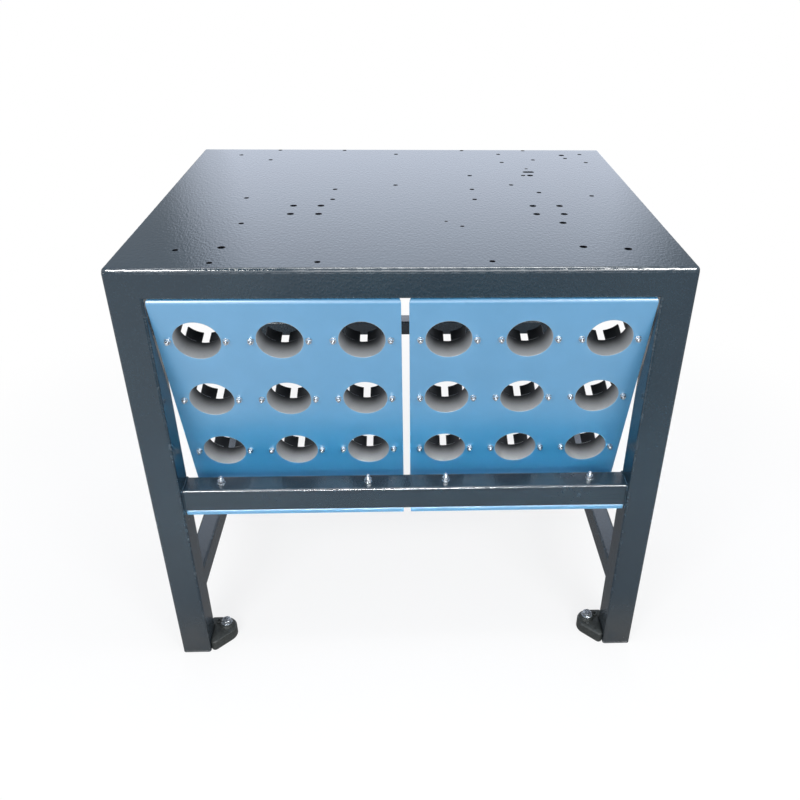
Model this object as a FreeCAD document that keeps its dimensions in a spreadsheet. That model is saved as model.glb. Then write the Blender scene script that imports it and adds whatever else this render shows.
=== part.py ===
import FreeCAD, Part
import math
import operator
import os

import Sketcher

# Assembly table: a welded square-tube stand with a drilled steel top and, under the
# front edge, two sloping sheet racks that hold eighteen storage tubes.
# Millimetres, +Z up, +Y to the back. The origin is on the floor under the middle.

SIZES = [
    # overall
    ("table_width", 1000, "overall width"),
    ("table_depth", 840, "overall depth"),
    ("table_height", 895, "floor to the top of the plate"),
    # drilled top plate
    ("plate_thickness", 5, "top plate"),
    ("plate_inset", 3, "edge of the frame to edge of the plate"),
    ("plate_edge_radius", 2.5, "rounding of the plate's upper edge"),
    ("plate_corner_radius", 3, "corners of the plate seen from above"),
    ("drill_plain", 9, "plain fixing hole"),
    ("drill_large", 13.5, "large fixing hole"),
    ("drill_small", 6, "small fixing hole"),
    ("drill_tiny", 4, "pilot hole"),
    ("cable_slot_length", 26, "slot at the back right, overall length"),
    ("cable_slot_width", 12, "slot at the back right, width"),
    ("press_pattern_x", 295, "press fixing holes, spacing across"),
    ("press_pattern_y", 75, "press fixing holes, spacing front to back"),
    ("clamp_pattern", 55, "clamp fixing holes, spacing both ways"),
    ("stand_pattern_x", 205, "stand fixing holes, spacing across"),
    ("stand_pattern_y", 82, "stand fixing holes, spacing front to back"),
    # square-tube frame
    ("leg_width", 60, "leg tube, both ways"),
    ("leg_wall", 3, "leg tube wall"),
    ("leg_corner_radius", 5, "leg tube, outer corner"),
    ("foot_plate_thickness", 5, "plate that closes a leg"),
    ("rail_wall", 3, "wall of the rails and stretchers"),
    ("rail_corner_radius", 5, "rails and stretchers, outer corner"),
    ("top_rail_depth", 50, "top rail, front to back"),
    ("top_rail_height", 50, "top rail, height"),
    ("mid_rail_height", 50, "front middle rail, height"),
    ("rear_rail_height", 40, "rear middle rail, height"),
    ("mid_rail_setback", 10, "leg face to middle rail face"),
    ("front_rail_top", 436, "floor to the top of the front middle rail"),
    ("rear_rail_top", 444, "floor to the top of the rear middle rail"),
    ("stretcher_width", 40, "side stretcher, width"),
    ("stretcher_height", 50, "side stretcher, height"),
    ("stretcher_top", 198, "floor to the top of a side stretcher"),
    # sheet racks
    ("rack_thickness", 2, "rack sheet"),
    ("rack_bend_radius", 2, "inside radius of the bends"),
    ("rack_tilt", 15, "slope of the rack from upright, in degrees"),
    ("rack_setback", 1, "leg face to the rack's top edge"),
    ("rack_middle_gap", 14, "gap between the racks"),
    ("rack_side_clearance", 2, "gap between a rack and a leg"),
    ("rack_top_flange", 42, "upper flange, front to back"),
    ("rack_lip_setback", 13, "leg face to the lip's face"),
    ("rack_lip_drop", 10, "height of the lip"),
    ("end_column_inset", 70.5, "side of a rack to its nearest column of tubes"),
    ("first_row_drop", 91, "top edge to the first row, down the slope"),
    ("last_row_rise", 89.016, "last row to the lower bend, up the slope"),
    # storage tubes
    ("rack_hole_clearance", 1, "rack hole over tube bore, on the diameter"),
    ("tube_bore", 83, "storage tube bore"),
    ("tube_wall", 3, "storage tube wall"),
    ("tube_length", 70, "storage tube, overall"),
    ("tube_flange_width", 4.5, "ring of the flange outside the tube"),
    ("tube_flange_thickness", 2.5, "flange"),
    ("tube_slot_width", 14, "slot between two fingers"),
    ("tube_slot_depth", 28, "length of the slotted end"),
    ("tube_slit_length", 19, "slit at the foot of a slot"),
    ("tube_slit_width", 2.5, "height of the slit"),
    ("ear_width", 16, "screw ear"),
    ("ear_corner_radius", 6, "screw ear, corner"),
    ("ear_spacing", 102, "between the two screws of a tube"),
    # fasteners
    ("screw_diameter", 5, "tube screw"),
    ("screw_hole", 5.5, "clearance hole for a tube screw"),
    ("screw_flats", 8, "tube screw and nut, across the flats"),
    ("screw_head_height", 3.5, "tube screw head"),
    ("screw_nut_height", 4, "tube screw nut"),
    ("screw_washer_diameter", 10, "tube screw washer"),
    ("screw_washer_thickness", 1, "tube screw washer"),
    ("screw_tail", 5, "screw end in front of its nut"),
    ("bolt_diameter", 8, "rack bolt"),
    ("bolt_hole", 9, "clearance hole for a rack bolt"),
    ("bolt_flats", 13, "rack bolt and nut, across the flats"),
    ("bolt_head_height", 5.3, "rack bolt head"),
    ("bolt_nut_height", 6.5, "rack bolt nut"),
    ("bolt_washer_diameter", 16, "rack bolt washer"),
    ("bolt_washer_thickness", 1.6, "rack bolt washer"),
    ("bolt_tail", 8, "bolt end above its nut"),
    ("thread_clearance", 0.1, "screw to its threaded hole, on the radius"),
    # lugs at the feet
    ("lug_height", 30, "foot lug"),
    ("lug_boss_radius", 23, "round end of the lug"),
    ("lug_toe_radius", 10, "narrow end of the lug"),
    ("lug_boss_from_front", 60, "leg face to the middle of the round end"),
    ("lug_toe_from_front", 16, "leg face to the middle of the narrow end"),
    ("lug_edge_radius", 5, "rounding of the lug's upper edge"),
    ("anchor_from_leg", 28, "leg to the anchor bolt"),
    ("anchor_slot_travel", 12, "slot length beyond the bolt's diameter"),
    ("anchor_hole", 13.5, "width of the anchor slot"),
    ("anchor_diameter", 12, "anchor bolt"),
    ("anchor_flats", 19, "anchor bolt, across the flats"),
    ("anchor_head_height", 7.5, "anchor bolt head"),
    ("anchor_washer_diameter", 24, "anchor bolt washer"),
    ("anchor_washer_thickness", 2.5, "anchor bolt washer"),
]

TUBE_ROWS = 3
TUBE_COLUMNS = 3
TUBE_SLOTS = 6

# Single holes in the top plate: (diameter, side edge, distance, end edge, distance).
# "middle" measures from the middle line, to the right or to the back where positive.
SINGLE_HOLES = [
    ("drill_plain", "left", 102, "rear", 63),
    ("drill_plain", "left", 191, "rear", 12),
    ("drill_plain", "left", 180, "rear", 111),
    ("drill_plain", "middle", -148, "rear", 12),
    ("drill_plain", "middle", -18, "rear", 52),
    ("drill_plain", "middle", -18, "middle", 86),
    ("drill_plain", "left", 174, "middle", -13),
    ("drill_plain", "left", 191, "middle", -182),
    ("drill_large", "left", 179, "front", 103),
    ("drill_plain", "left", 102, "front", 90),
    ("drill_plain", "left", 173, "front", 27),
    ("drill_plain", "middle", -147, "front", 30),
    ("drill_plain", "middle", 148, "rear", 12),
    ("drill_plain", "right", 196, "rear", 12),
    ("drill_plain", "right", 183, "rear", 107),
    ("drill_large", "right", 105, "rear", 60),
    ("drill_plain", "right", 101, "rear", 91),
    ("drill_small", "right", 211, "rear", 192),
    ("drill_plain", "right", 226, "rear", 252),
    ("drill_large", "right", 210, "rear", 252),
    ("drill_plain", "middle", 151, "middle", 166),
    ("drill_plain", "middle", 237, "middle", 88),
    ("drill_plain", "right", 210, "middle", 28),
    ("drill_plain", "right", 101, "middle", 3),
    ("drill_large", "right", 194, "middle", -180),
    ("drill_tiny", "middle", 81, "middle", -170),
    ("drill_small", "middle", 110, "middle", -200),
    ("drill_large", "right", 181, "front", 103),
    ("drill_large", "right", 103, "front", 91),
    ("drill_plain", "middle", 149, "front", 31),
]
PRESS_CENTRE = ("middle", 0, "middle", 15)
CLAMP_CENTRES = [("middle", -195.5, "middle", -95), ("middle", 290.5, "middle", -97)]
STAND_CENTRE = ("right", 160, "rear", 91)
CABLE_SLOT_CENTRE = ("right", 210, "rear", 222)

os.makedirs("parts", exist_ok=True)
doc = FreeCAD.newDocument("assembly_table")

sheet = doc.addObject("Spreadsheet::Sheet", "dims")
for row, (alias, number, note) in enumerate(SIZES, start=1):
    sheet.set("A%d" % row, note)
    sheet.set("B%d" % row, str(number))
    sheet.setAlias("B%d" % row, alias)
doc.recompute()


class Size:
    """A length with its spreadsheet formula beside its present value."""

    def __init__(self, formula, value):
        self.formula = formula
        self.value = float(value)

    def __add__(self, other):
        return combine(self, "+", other)

    def __radd__(self, other):
        return combine(other, "+", self)

    def __sub__(self, other):
        return combine(self, "-", other)

    def __rsub__(self, other):
        return combine(other, "-", self)

    def __mul__(self, other):
        return combine(self, "*", other)

    def __rmul__(self, other):
        return combine(other, "*", self)

    def __truediv__(self, other):
        return combine(self, "/", other)

    def __neg__(self):
        return combine(0, "-", self)


SIGNS = {"+": operator.add, "-": operator.sub, "*": operator.mul, "/": operator.truediv}


def as_size(item):
    """A plain number becomes a Size; a Size stays as it is."""
    if isinstance(item, Size):
        return item
    return Size(repr(float(item)), item)


def combine(left, sign, right):
    left, right = as_size(left), as_size(right)
    formula = "(%s %s %s)" % (left.formula, sign, right.formula)
    return Size(formula, SIGNS[sign](left.value, right.value))


def sine(angle):
    return Size("sin(%s * 1deg)" % angle.formula, math.sin(math.radians(angle.value)))


def cosine(angle):
    return Size("cos(%s * 1deg)" % angle.formula, math.cos(math.radians(angle.value)))


def size(alias):
    return Size("dims." + alias, sheet.get(alias))


# --- helpers -------------------------------------------------------------------

XY, XZ, YZ = "XY_Plane", "XZ_Plane", "YZ_Plane"
X_AXIS, Y_AXIS = range(-1, -3, -1)
ROOT = X_AXIS
START, END, CENTRE = range(1, 4)


def bind(item, prop, length):
    """Sets a property to a length and ties it to the length's formula."""
    setattr(item, prop, length.value)
    item.setExpression(prop, length.formula)


def place(item, x=0, y=0, z=0, axis=None, angle=0):
    """Puts an item at a point, turned about an axis, with the point tied to its formulas."""
    point = [as_size(x), as_size(y), as_size(z)]
    turn = FreeCAD.Rotation(FreeCAD.Vector(*(axis or (0, 0, 1))), as_size(angle).value)
    item.Placement = FreeCAD.Placement(FreeCAD.Vector(*[p.value for p in point]), turn)
    for letter, length in zip("xyz", point):
        item.setExpression("Placement.Base." + letter, length.formula)
    if isinstance(angle, Size):
        item.setExpression("Placement.Rotation.Angle", angle.formula)
    return item


def new_body(name):
    return doc.addObject("PartDesign::Body", name)


def new_sketch(body, name, plane):
    """A sketch on one of the body's own origin planes."""
    sketch = body.newObject("Sketcher::SketchObject", name)
    planes = [item for item in body.Origin.OriginFeatures if item.Role == plane]
    sketch.AttachmentSupport = [(planes[0], "")]
    sketch.MapMode = "FlatFace"
    return sketch


def drive(sketch, name, kind, *rest):
    """Adds a dimension, the last of rest being its length, and ties it to the formula."""
    length = rest[-1]
    index = sketch.addConstraint(Sketcher.Constraint(kind, *rest[:-1], length.value))
    sketch.renameConstraint(index, name)
    sketch.setExpression("Constraints." + name, length.formula)


def fix(sketch, kind, *rest):
    sketch.addConstraint(Sketcher.Constraint(kind, *rest))


def line(sketch, start, end):
    vectors = [FreeCAD.Vector(point[0], point[1], 0) for point in (start, end)]
    return sketch.addGeometry(Part.LineSegment(*vectors), False)


def arc(sketch, centre, radius, first, last):
    """An arc, counter-clockwise from the first angle to the last, in radians."""
    up = FreeCAD.Vector(0, 0, 1)
    circle = Part.Circle(FreeCAD.Vector(centre[0], centre[1], 0), up, radius)
    return sketch.addGeometry(Part.ArcOfCircle(circle, first, last), False)


def locate(sketch, name, item, point, x, y):
    """Ties one point of an item to the sketch's origin."""
    for letter, length, axis in (("X", as_size(x), Y_AXIS), ("Y", as_size(y), X_AXIS)):
        label = "%s_%s" % (name, letter.lower())
        if abs(length.value) < 1e-9:
            fix(sketch, "PointOnObject", item, point, axis)
        elif length.value > 0:
            drive(sketch, label, "Distance" + letter, ROOT, 1, item, point, length)
        else:
            drive(sketch, label, "Distance" + letter, item, point, ROOT, 1, -length)


def round_hole(sketch, name, x, y, diameter):
    """A circle of a given diameter about a point."""
    x, y = as_size(x), as_size(y)
    up = FreeCAD.Vector(0, 0, 1)
    circle = Part.Circle(FreeCAD.Vector(x.value, y.value, 0), up, diameter.value / 2)
    item = sketch.addGeometry(circle, False)
    drive(sketch, name + "_diameter", "Diameter", item, diameter)
    locate(sketch, name, item, CENTRE, x, y)


def rounded_rectangle(sketch, name, width, height, radius):
    """A rectangle with round corners about the sketch's origin."""
    w, h, r = width.value / 2, height.value / 2, radius.value
    bottom = line(sketch, (r - w, -h), (w - r, -h))
    right = line(sketch, (w, r - h), (w, h - r))
    top = line(sketch, (w - r, h), (r - w, h))
    left = line(sketch, (-w, h - r), (-w, r - h))
    corners = []
    for turn, (x, y) in enumerate(((w - r, r - h), (w - r, h - r), (r - w, h - r), (r - w, r - h))):
        first = (turn - 1) * math.pi / 2
        corners.append(arc(sketch, (x, y), r, first, first + math.pi / 2))
    sides = [bottom, right, top, left]
    for turn in range(4):
        fix(sketch, "Tangent", sides[turn], END, corners[turn], START)
        fix(sketch, "Tangent", corners[turn], END, sides[(turn + 1) % 4], START)
    for side, kind in ((bottom, "Horizontal"), (top, "Horizontal"), (right, "Vertical"), (left, "Vertical")):
        fix(sketch, kind, side)
    for corner in corners[1:]:
        fix(sketch, "Equal", corners[0], corner)
    fix(sketch, "Symmetric", corners[1], CENTRE, corners[3], CENTRE, ROOT, 1)
    drive(sketch, name + "_width", "DistanceX", left, START, right, START, width)
    drive(sketch, name + "_height", "DistanceY", bottom, START, top, START, height)
    drive(sketch, name + "_radius", "Radius", corners[0], radius)


def obround(sketch, name, x, y, length, width):
    """A slot along the sketch's x axis with half-round ends, about a point."""
    x, y = as_size(x), as_size(y)
    r = width.value / 2
    half = length.value / 2 - r
    lower = line(sketch, (x.value - half, y.value - r), (x.value + half, y.value - r))
    upper = line(sketch, (x.value + half, y.value + r), (x.value - half, y.value + r))
    right = arc(sketch, (x.value + half, y.value), r, -math.pi / 2, math.pi / 2)
    left = arc(sketch, (x.value - half, y.value), r, math.pi / 2, 3 * math.pi / 2)
    fix(sketch, "Tangent", lower, END, right, START)
    fix(sketch, "Tangent", right, END, upper, START)
    fix(sketch, "Tangent", upper, END, left, START)
    fix(sketch, "Tangent", left, END, lower, START)
    fix(sketch, "Horizontal", lower)
    fix(sketch, "Equal", left, right)
    drive(sketch, name + "_radius", "Radius", left, width / 2)
    drive(sketch, name + "_travel", "DistanceX", left, CENTRE, right, CENTRE, length - width)
    locate(sketch, name, left, CENTRE, x - (length - width) / 2, y)


def pad(body, sketch, name, length, reverse=False):
    feature = body.newObject("PartDesign::Pad", name)
    feature.Profile = sketch
    bind(feature, "Length", length)
    feature.Reversed = reverse
    sketch.Visibility = False
    body.Tip = feature
    return feature


def pocket(body, sketch, name, reverse=False, both=False):
    """A pocket through everything on one side of its sketch, or on both sides."""
    feature = body.newObject("PartDesign::Pocket", name)
    feature.Profile = sketch
    feature.Type = "ThroughAll"
    feature.Reversed = reverse
    feature.Midplane = both
    body.Tip = feature
    return feature


def round_top_edge(body, feature, name, height, radius):
    """Rounds the outer edge of the flat face that a pad ends on."""
    doc.recompute()
    shape = feature.Shape
    names = []
    for index, edge in enumerate(shape.Edges, start=1):
        box = edge.BoundBox
        if abs(box.ZMin - height.value) < 1e-6 and abs(box.ZMax - height.value) < 1e-6:
            names.append("Edge%d" % index)
    fillet = body.newObject("PartDesign::Fillet", name)
    fillet.Base = (feature, names)
    bind(fillet, "Radius", radius)
    body.Tip = fillet
    return fillet


def square_tube(name, plane, width, height, wall, radius, length, reverse=False):
    """A hollow section drawn on a plane about its middle, and padded off that plane."""
    body = new_body(name)
    section = new_sketch(body, name + "_section", plane)
    rounded_rectangle(section, "outer", width, height, radius)
    rounded_rectangle(section, "inner", width - 2 * wall, height - 2 * wall, radius - wall)
    pad(body, section, name + "_run", length, reverse)
    return body


nodes = []


def keep(item, label=None):
    """Marks an item as a piece of the table, to be written out under its label."""
    item.Label = label or item.Name
    nodes.append(item)
    return item


# --- sizes that several pieces share --------------------------------------------

half_width = size("table_width") / 2
half_depth = size("table_depth") / 2
plate_thickness = size("plate_thickness")
plate_bottom = size("table_height") - plate_thickness
leg_width = size("leg_width")
leg_wall = size("leg_wall")
leg_radius = size("leg_corner_radius")
foot_plate_thickness = size("foot_plate_thickness")
rail_wall = size("rail_wall")
rail_radius = size("rail_corner_radius")
top_rail_depth = size("top_rail_depth")
top_rail_height = size("top_rail_height")
mid_rail_depth = leg_width - size("mid_rail_setback")
mid_rail_height = size("mid_rail_height")
front_rail_top = size("front_rail_top")
span_x = size("table_width") - 2 * leg_width
span_y = size("table_depth") - 2 * leg_width

SIDES = (("left", -1), ("right", 1))
ENDS = (("front", -1), ("rear", 1))

# --- legs and their foot plates ---------------------------------------------------

for end, y_sign in ENDS:
    for side, x_sign in SIDES:
        leg_x = x_sign * (half_width - leg_width / 2)
        leg_y = y_sign * (half_depth - leg_width / 2)
        leg = square_tube("leg_%s_%s" % (end, side), XY, leg_width, leg_width, leg_wall,
                          leg_radius, plate_bottom - foot_plate_thickness)
        keep(place(leg, leg_x, leg_y, foot_plate_thickness))
        foot = new_body("foot_plate_%s_%s" % (end, side))
        outline = new_sketch(foot, foot.Name + "_outline", XY)
        rounded_rectangle(outline, "plate", leg_width, leg_width, leg_radius)
        pad(foot, outline, foot.Name + "_sheet", foot_plate_thickness)
        keep(place(foot, leg_x, leg_y, 0))

# --- top rails --------------------------------------------------------------------

rack_width = half_width - leg_width - size("rack_side_clearance") - size("rack_middle_gap") / 2
rack_centre = size("rack_middle_gap") / 2 + rack_width / 2
end_column = rack_width / 2 - size("end_column_inset")
rack_bolts_x = [x_sign * rack_centre + offset * end_column
                for side, x_sign in SIDES for offset in (-1, 1)]

for end, y_sign in ENDS:
    rail = square_tube("top_rail_" + end, YZ, top_rail_depth, top_rail_height, rail_wall,
                       rail_radius, span_x)
    if end == "front":
        # threaded holes in the lower wall, for the bolts of the racks' upper flanges
        holes = new_sketch(rail, "top_rail_front_holes", XY)
        for number, x in enumerate(rack_bolts_x):
            round_hole(holes, "bolt_%d" % number, x + span_x / 2, 0,
                       size("bolt_diameter") + 2 * size("thread_clearance"))
        pocket(rail, holes, "top_rail_front_drilling")
    keep(place(rail, -(span_x / 2), y_sign * (half_depth - top_rail_depth / 2),
               plate_bottom - top_rail_height / 2))

for side, x_sign in SIDES:
    rail = square_tube("top_rail_" + side, XZ, top_rail_depth, top_rail_height, rail_wall,
                       rail_radius, span_y)
    keep(place(rail, x_sign * (half_width - top_rail_depth / 2), span_y / 2,
               plate_bottom - top_rail_height / 2))

# --- middle rails and low side stretchers -------------------------------------------

mid_rail_y = half_depth - size("mid_rail_setback") - mid_rail_depth / 2
mid_rails = (("front", -1, front_rail_top, mid_rail_height),
             ("rear", 1, size("rear_rail_top"), size("rear_rail_height")))
for end, y_sign, rail_top, rail_height in mid_rails:
    rail = square_tube("middle_rail_" + end, YZ, mid_rail_depth, rail_height, rail_wall,
                       rail_radius, span_x)
    if end == "front":
        holes = new_sketch(rail, "middle_rail_front_holes", XY)
        for number, x in enumerate(rack_bolts_x):
            round_hole(holes, "bolt_%d" % number, x + span_x / 2, 0, size("bolt_hole"))
        pocket(rail, holes, "middle_rail_front_drilling", both=True)
    keep(place(rail, -(span_x / 2), y_sign * mid_rail_y, rail_top - rail_height / 2))

stretcher_width = size("stretcher_width")
stretcher_height = size("stretcher_height")
for side, x_sign in SIDES:
    stretcher = square_tube("side_stretcher_" + side, XZ, stretcher_width, stretcher_height,
                            rail_wall, rail_radius, span_y)
    keep(place(stretcher, x_sign * (half_width - leg_width + stretcher_width / 2), span_y / 2,
               size("stretcher_top") - stretcher_height / 2))

# --- drilled top plate ----------------------------------------------------------------

EDGES = {"left": -half_width, "right": half_width, "front": -half_depth, "rear": half_depth}


def from_edge(edge, distance):
    """A place on the plate, measured inwards from an edge or outwards from the middle."""
    if edge == "middle":
        return as_size(distance)
    if edge in ("left", "front"):
        return EDGES[edge] + distance
    return EDGES[edge] - distance


def on_plate(spot):
    return from_edge(spot[0], spot[1]), from_edge(spot[2], spot[3])


def drill_rectangle(sketch, name, spot, spacing_x, spacing_y, diameter):
    """Four holes at the corners of a rectangle about a place on the plate."""
    x, y = on_plate(spot)
    for number, (i, j) in enumerate(((-1, -1), (1, -1), (1, 1), (-1, 1))):
        round_hole(sketch, "%s_%d" % (name, number), x + i * spacing_x / 2,
                   y + j * spacing_y / 2, diameter)


plate = new_body("top_plate")
outline = new_sketch(plate, "top_plate_outline", XY)
plate_inset = size("plate_inset")
rounded_rectangle(outline, "plate", size("table_width") - 2 * plate_inset,
                  size("table_depth") - 2 * plate_inset, size("plate_corner_radius"))
sheet_pad = pad(plate, outline, "top_plate_sheet", plate_thickness)
round_top_edge(plate, sheet_pad, "top_plate_edge", plate_thickness, size("plate_edge_radius"))
singles = new_sketch(plate, "top_plate_single_holes", XY)
for number, (drill, *spot) in enumerate(SINGLE_HOLES):
    x, y = on_plate(spot)
    round_hole(singles, "hole_%d" % number, x, y, size(drill))
pocket(plate, singles, "top_plate_single_drilling", reverse=True)
patterns = new_sketch(plate, "top_plate_pattern_holes", XY)
drill_rectangle(patterns, "press", PRESS_CENTRE, size("press_pattern_x"), size("press_pattern_y"),
                size("drill_plain"))
drill_rectangle(patterns, "stand", STAND_CENTRE, size("stand_pattern_x"), size("stand_pattern_y"),
                size("drill_plain"))
for number, spot in enumerate(CLAMP_CENTRES):
    drill_rectangle(patterns, "clamp_%d" % number, spot, size("clamp_pattern"),
                    size("clamp_pattern"), size("drill_large"))
x, y = on_plate(CABLE_SLOT_CENTRE)
obround(patterns, "cable_slot", x, y, size("cable_slot_length"), size("cable_slot_width"))
pocket(plate, patterns, "top_plate_pattern_drilling", reverse=True)
keep(place(plate, 0, 0, plate_bottom))

# --- sheet racks ------------------------------------------------------------------------

rack_tilt = size("rack_tilt")
rack_sheet = size("rack_thickness")
bend_radius = size("rack_bend_radius")
rack_top_y = size("rack_setback") - half_depth
rack_top_z = plate_bottom - top_rail_height
rack_drop = rack_top_z - (front_rail_top - mid_rail_height)
rack_slope = rack_drop / cosine(rack_tilt)
rack_foot_y = rack_top_y + rack_slope * sine(rack_tilt)
rack_reach = rack_foot_y - (size("rack_lip_setback") - half_depth)


def unit(vector):
    length = math.hypot(vector[0], vector[1])
    return vector[0] / length, vector[1] / length


def offset_path(points, distance):
    """The corners of a path moved to the left by a distance."""
    runs = [unit((b[0] - a[0], b[1] - a[1])) for a, b in zip(points, points[1:])]
    moved = []
    for index, (x, y) in enumerate(points):
        before = runs[max(index - 1, 0)]
        after = runs[min(index, len(runs) - 1)]
        normal = (-before[1] - after[1], before[0] + after[0])
        scale = 2 * distance / (normal[0] ** 2 + normal[1] ** 2)
        moved.append((x + normal[0] * scale, y + normal[1] * scale))
    return moved


def bent_side(sketch, points, radii):
    """One side of a bent sheet: straight runs joined by tangent arcs."""
    cuts = []
    for a, b, c, radius in zip(points, points[1:], points[2:], radii):
        back = unit((a[0] - b[0], a[1] - b[1]))
        ahead = unit((c[0] - b[0], c[1] - b[1]))
        half = math.acos(back[0] * ahead[0] + back[1] * ahead[1]) / 2
        reach = radius / math.tan(half)
        middle = unit((back[0] + ahead[0], back[1] + ahead[1]))
        centre = [b[i] + middle[i] * radius / math.sin(half) for i in (0, 1)]
        leave = [b[i] + back[i] * reach for i in (0, 1)]
        join = [b[i] + ahead[i] * reach for i in (0, 1)]
        left_turn = back[0] * ahead[1] - back[1] * ahead[0] < 0
        cuts.append((leave, join, centre, radius, left_turn))
    runs, bends = [], []
    start = points[0]
    for leave, join, centre, radius, left_turn in cuts:
        runs.append(line(sketch, start, leave))
        angles = [math.atan2(p[1] - centre[1], p[0] - centre[0]) for p in (leave, join)]
        if not left_turn:
            angles.reverse()
        bends.append((arc(sketch, centre, radius, *angles), left_turn))
        start = join
    runs.append(line(sketch, start, points[-1]))
    for index, (bend, left_turn) in enumerate(bends):
        first, last = (START, END) if left_turn else (END, START)
        fix(sketch, "Tangent", runs[index], END, bend, first)
        fix(sketch, "Tangent", bend, last, runs[index + 1], START)
    return runs, [bend for bend, left_turn in bends]


def rack_section(sketch):
    """The bent sheet seen from its end: upper flange, slope, lower flange, lip.

    The origin is the upper corner of the face and the slope runs straight down, so that
    the level flanges lean by the rack's tilt.
    """
    tilt = math.radians(rack_tilt.value)
    level = (math.cos(tilt), -math.sin(tilt))
    down = (-math.sin(tilt), -math.cos(tilt))
    flange = size("rack_top_flange")
    lip = size("rack_lip_drop")
    foot = (0.0, -rack_slope.value)
    nose = tuple(foot[i] - level[i] * rack_reach.value for i in (0, 1))
    face = [
        (level[0] * flange.value, level[1] * flange.value),
        (0.0, 0.0),
        foot,
        nose,
        tuple(nose[i] + down[i] * lip.value for i in (0, 1)),
    ]
    inner, outer = bend_radius, bend_radius + rack_sheet
    face_radii = (outer, inner, outer)
    back_radii = (inner, outer, inner)
    runs, bends = bent_side(sketch, face, [r.value for r in face_radii])
    back = offset_path(face, rack_sheet.value)
    back_runs, back_bends = bent_side(sketch, back, [r.value for r in back_radii])
    first_end = line(sketch, face[0], back[0])
    last_end = line(sketch, face[-1], back[-1])
    for end, run, back_run, point in ((first_end, runs[0], back_runs[0], START),
                                      (last_end, runs[-1], back_runs[-1], END)):
        fix(sketch, "Coincident", end, START, run, point)
        fix(sketch, "Coincident", end, END, back_run, point)
        fix(sketch, "Perpendicular", end, run)
        fix(sketch, "Parallel", run, back_run)
    for number in range(3):
        fix(sketch, "Coincident", bends[number], CENTRE, back_bends[number], CENTRE)
        drive(sketch, "face_radius_%d" % number, "Radius", bends[number], face_radii[number])
        drive(sketch, "back_radius_%d" % number, "Radius", back_bends[number], back_radii[number])
    fix(sketch, "Vertical", runs[1])
    fix(sketch, "PointOnObject", runs[1], START, Y_AXIS)
    fix(sketch, "PointOnObject", ROOT, 1, runs[0])
    fix(sketch, "Parallel", runs[0], runs[2])
    fix(sketch, "Perpendicular", runs[2], runs[3])
    drive(sketch, "flange_y", "DistanceX", ROOT, 1, runs[0], START, flange * cosine(rack_tilt))
    drive(sketch, "flange_z", "DistanceY", runs[0], START, ROOT, 1, flange * sine(rack_tilt))
    drive(sketch, "drop", "Distance", ROOT, 1, runs[2], rack_drop)
    drive(sketch, "reach", "Distance", runs[1], END, runs[3], rack_reach_from_bend)
    drive(sketch, "lip", "Distance", runs[3], END, runs[2], lip)


# the bottom end of the straight slope lies this far behind the lip's face, measured level
rack_bend_setback = bend_radius * (1 - sine(rack_tilt)) * sine(rack_tilt) / cosine(rack_tilt)
rack_reach_from_bend = rack_reach - rack_bend_setback

column_pitch = end_column * 2 / (TUBE_COLUMNS - 1)
row_pitch = (rack_slope - size("first_row_drop") - size("last_row_rise")) / (TUBE_ROWS - 1)
hole_spots = [(column - (TUBE_COLUMNS - 1) / 2, row) for row in range(TUBE_ROWS)
              for column in range(TUBE_COLUMNS)]


def along_slope(row):
    """Distance down the slope from the rack's top edge to a row of tubes."""
    return size("first_row_drop") + row * row_pitch


racks = {}
for side, x_sign in SIDES:
    body = new_body("rack_blank_" + side)
    section = new_sketch(body, "rack_section_" + side, YZ)
    rack_section(section)
    pad(body, section, "rack_sheet_" + side, rack_width)
    holes = new_sketch(body, "rack_holes_" + side, XZ)
    for number, (column, row) in enumerate(hole_spots):
        x = rack_width / 2 + column * column_pitch
        round_hole(holes, "tube_%d" % number, x, -along_slope(row),
                   size("tube_bore") + size("rack_hole_clearance"))
        for ear, sign in (("a", -1), ("b", 1)):
            round_hole(holes, "screw_%d%s" % (number, ear), x + sign * size("ear_spacing") / 2,
                       -along_slope(row), size("screw_hole"))
    pocket(body, holes, "rack_punching_" + side, both=True)
    place(body, x_sign * rack_centre - rack_width / 2, rack_top_y, rack_top_z, (1, 0, 0), rack_tilt)
    racks[side] = body


def upright_pins(name, places, y, diameter, bottom, height):
    """A row of upright round tools, used to drill the flanges of the racks."""
    pins = []
    for number, x in enumerate(places):
        pin = doc.addObject("Part::Cylinder", "%s_%d" % (name, number))
        bind(pin, "Radius", diameter / 2)
        bind(pin, "Height", height)
        place(pin, x, y, bottom)
        pins.append(pin)
    return pins


def block(name, corner, sizes, axis=None, angle=0):
    """A box from its lowest corner."""
    box = doc.addObject("Part::Box", name)
    for prop, length in zip(("Length", "Width", "Height"), sizes):
        bind(box, prop, length)
    return place(box, *corner, axis, angle)


def worked(kind, name, base, tool):
    """What is left of a base after a tool cuts it, or what the two share."""
    result = doc.addObject("Part::" + kind, name)
    result.Base = base
    result.Tool = tool
    return result


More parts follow.
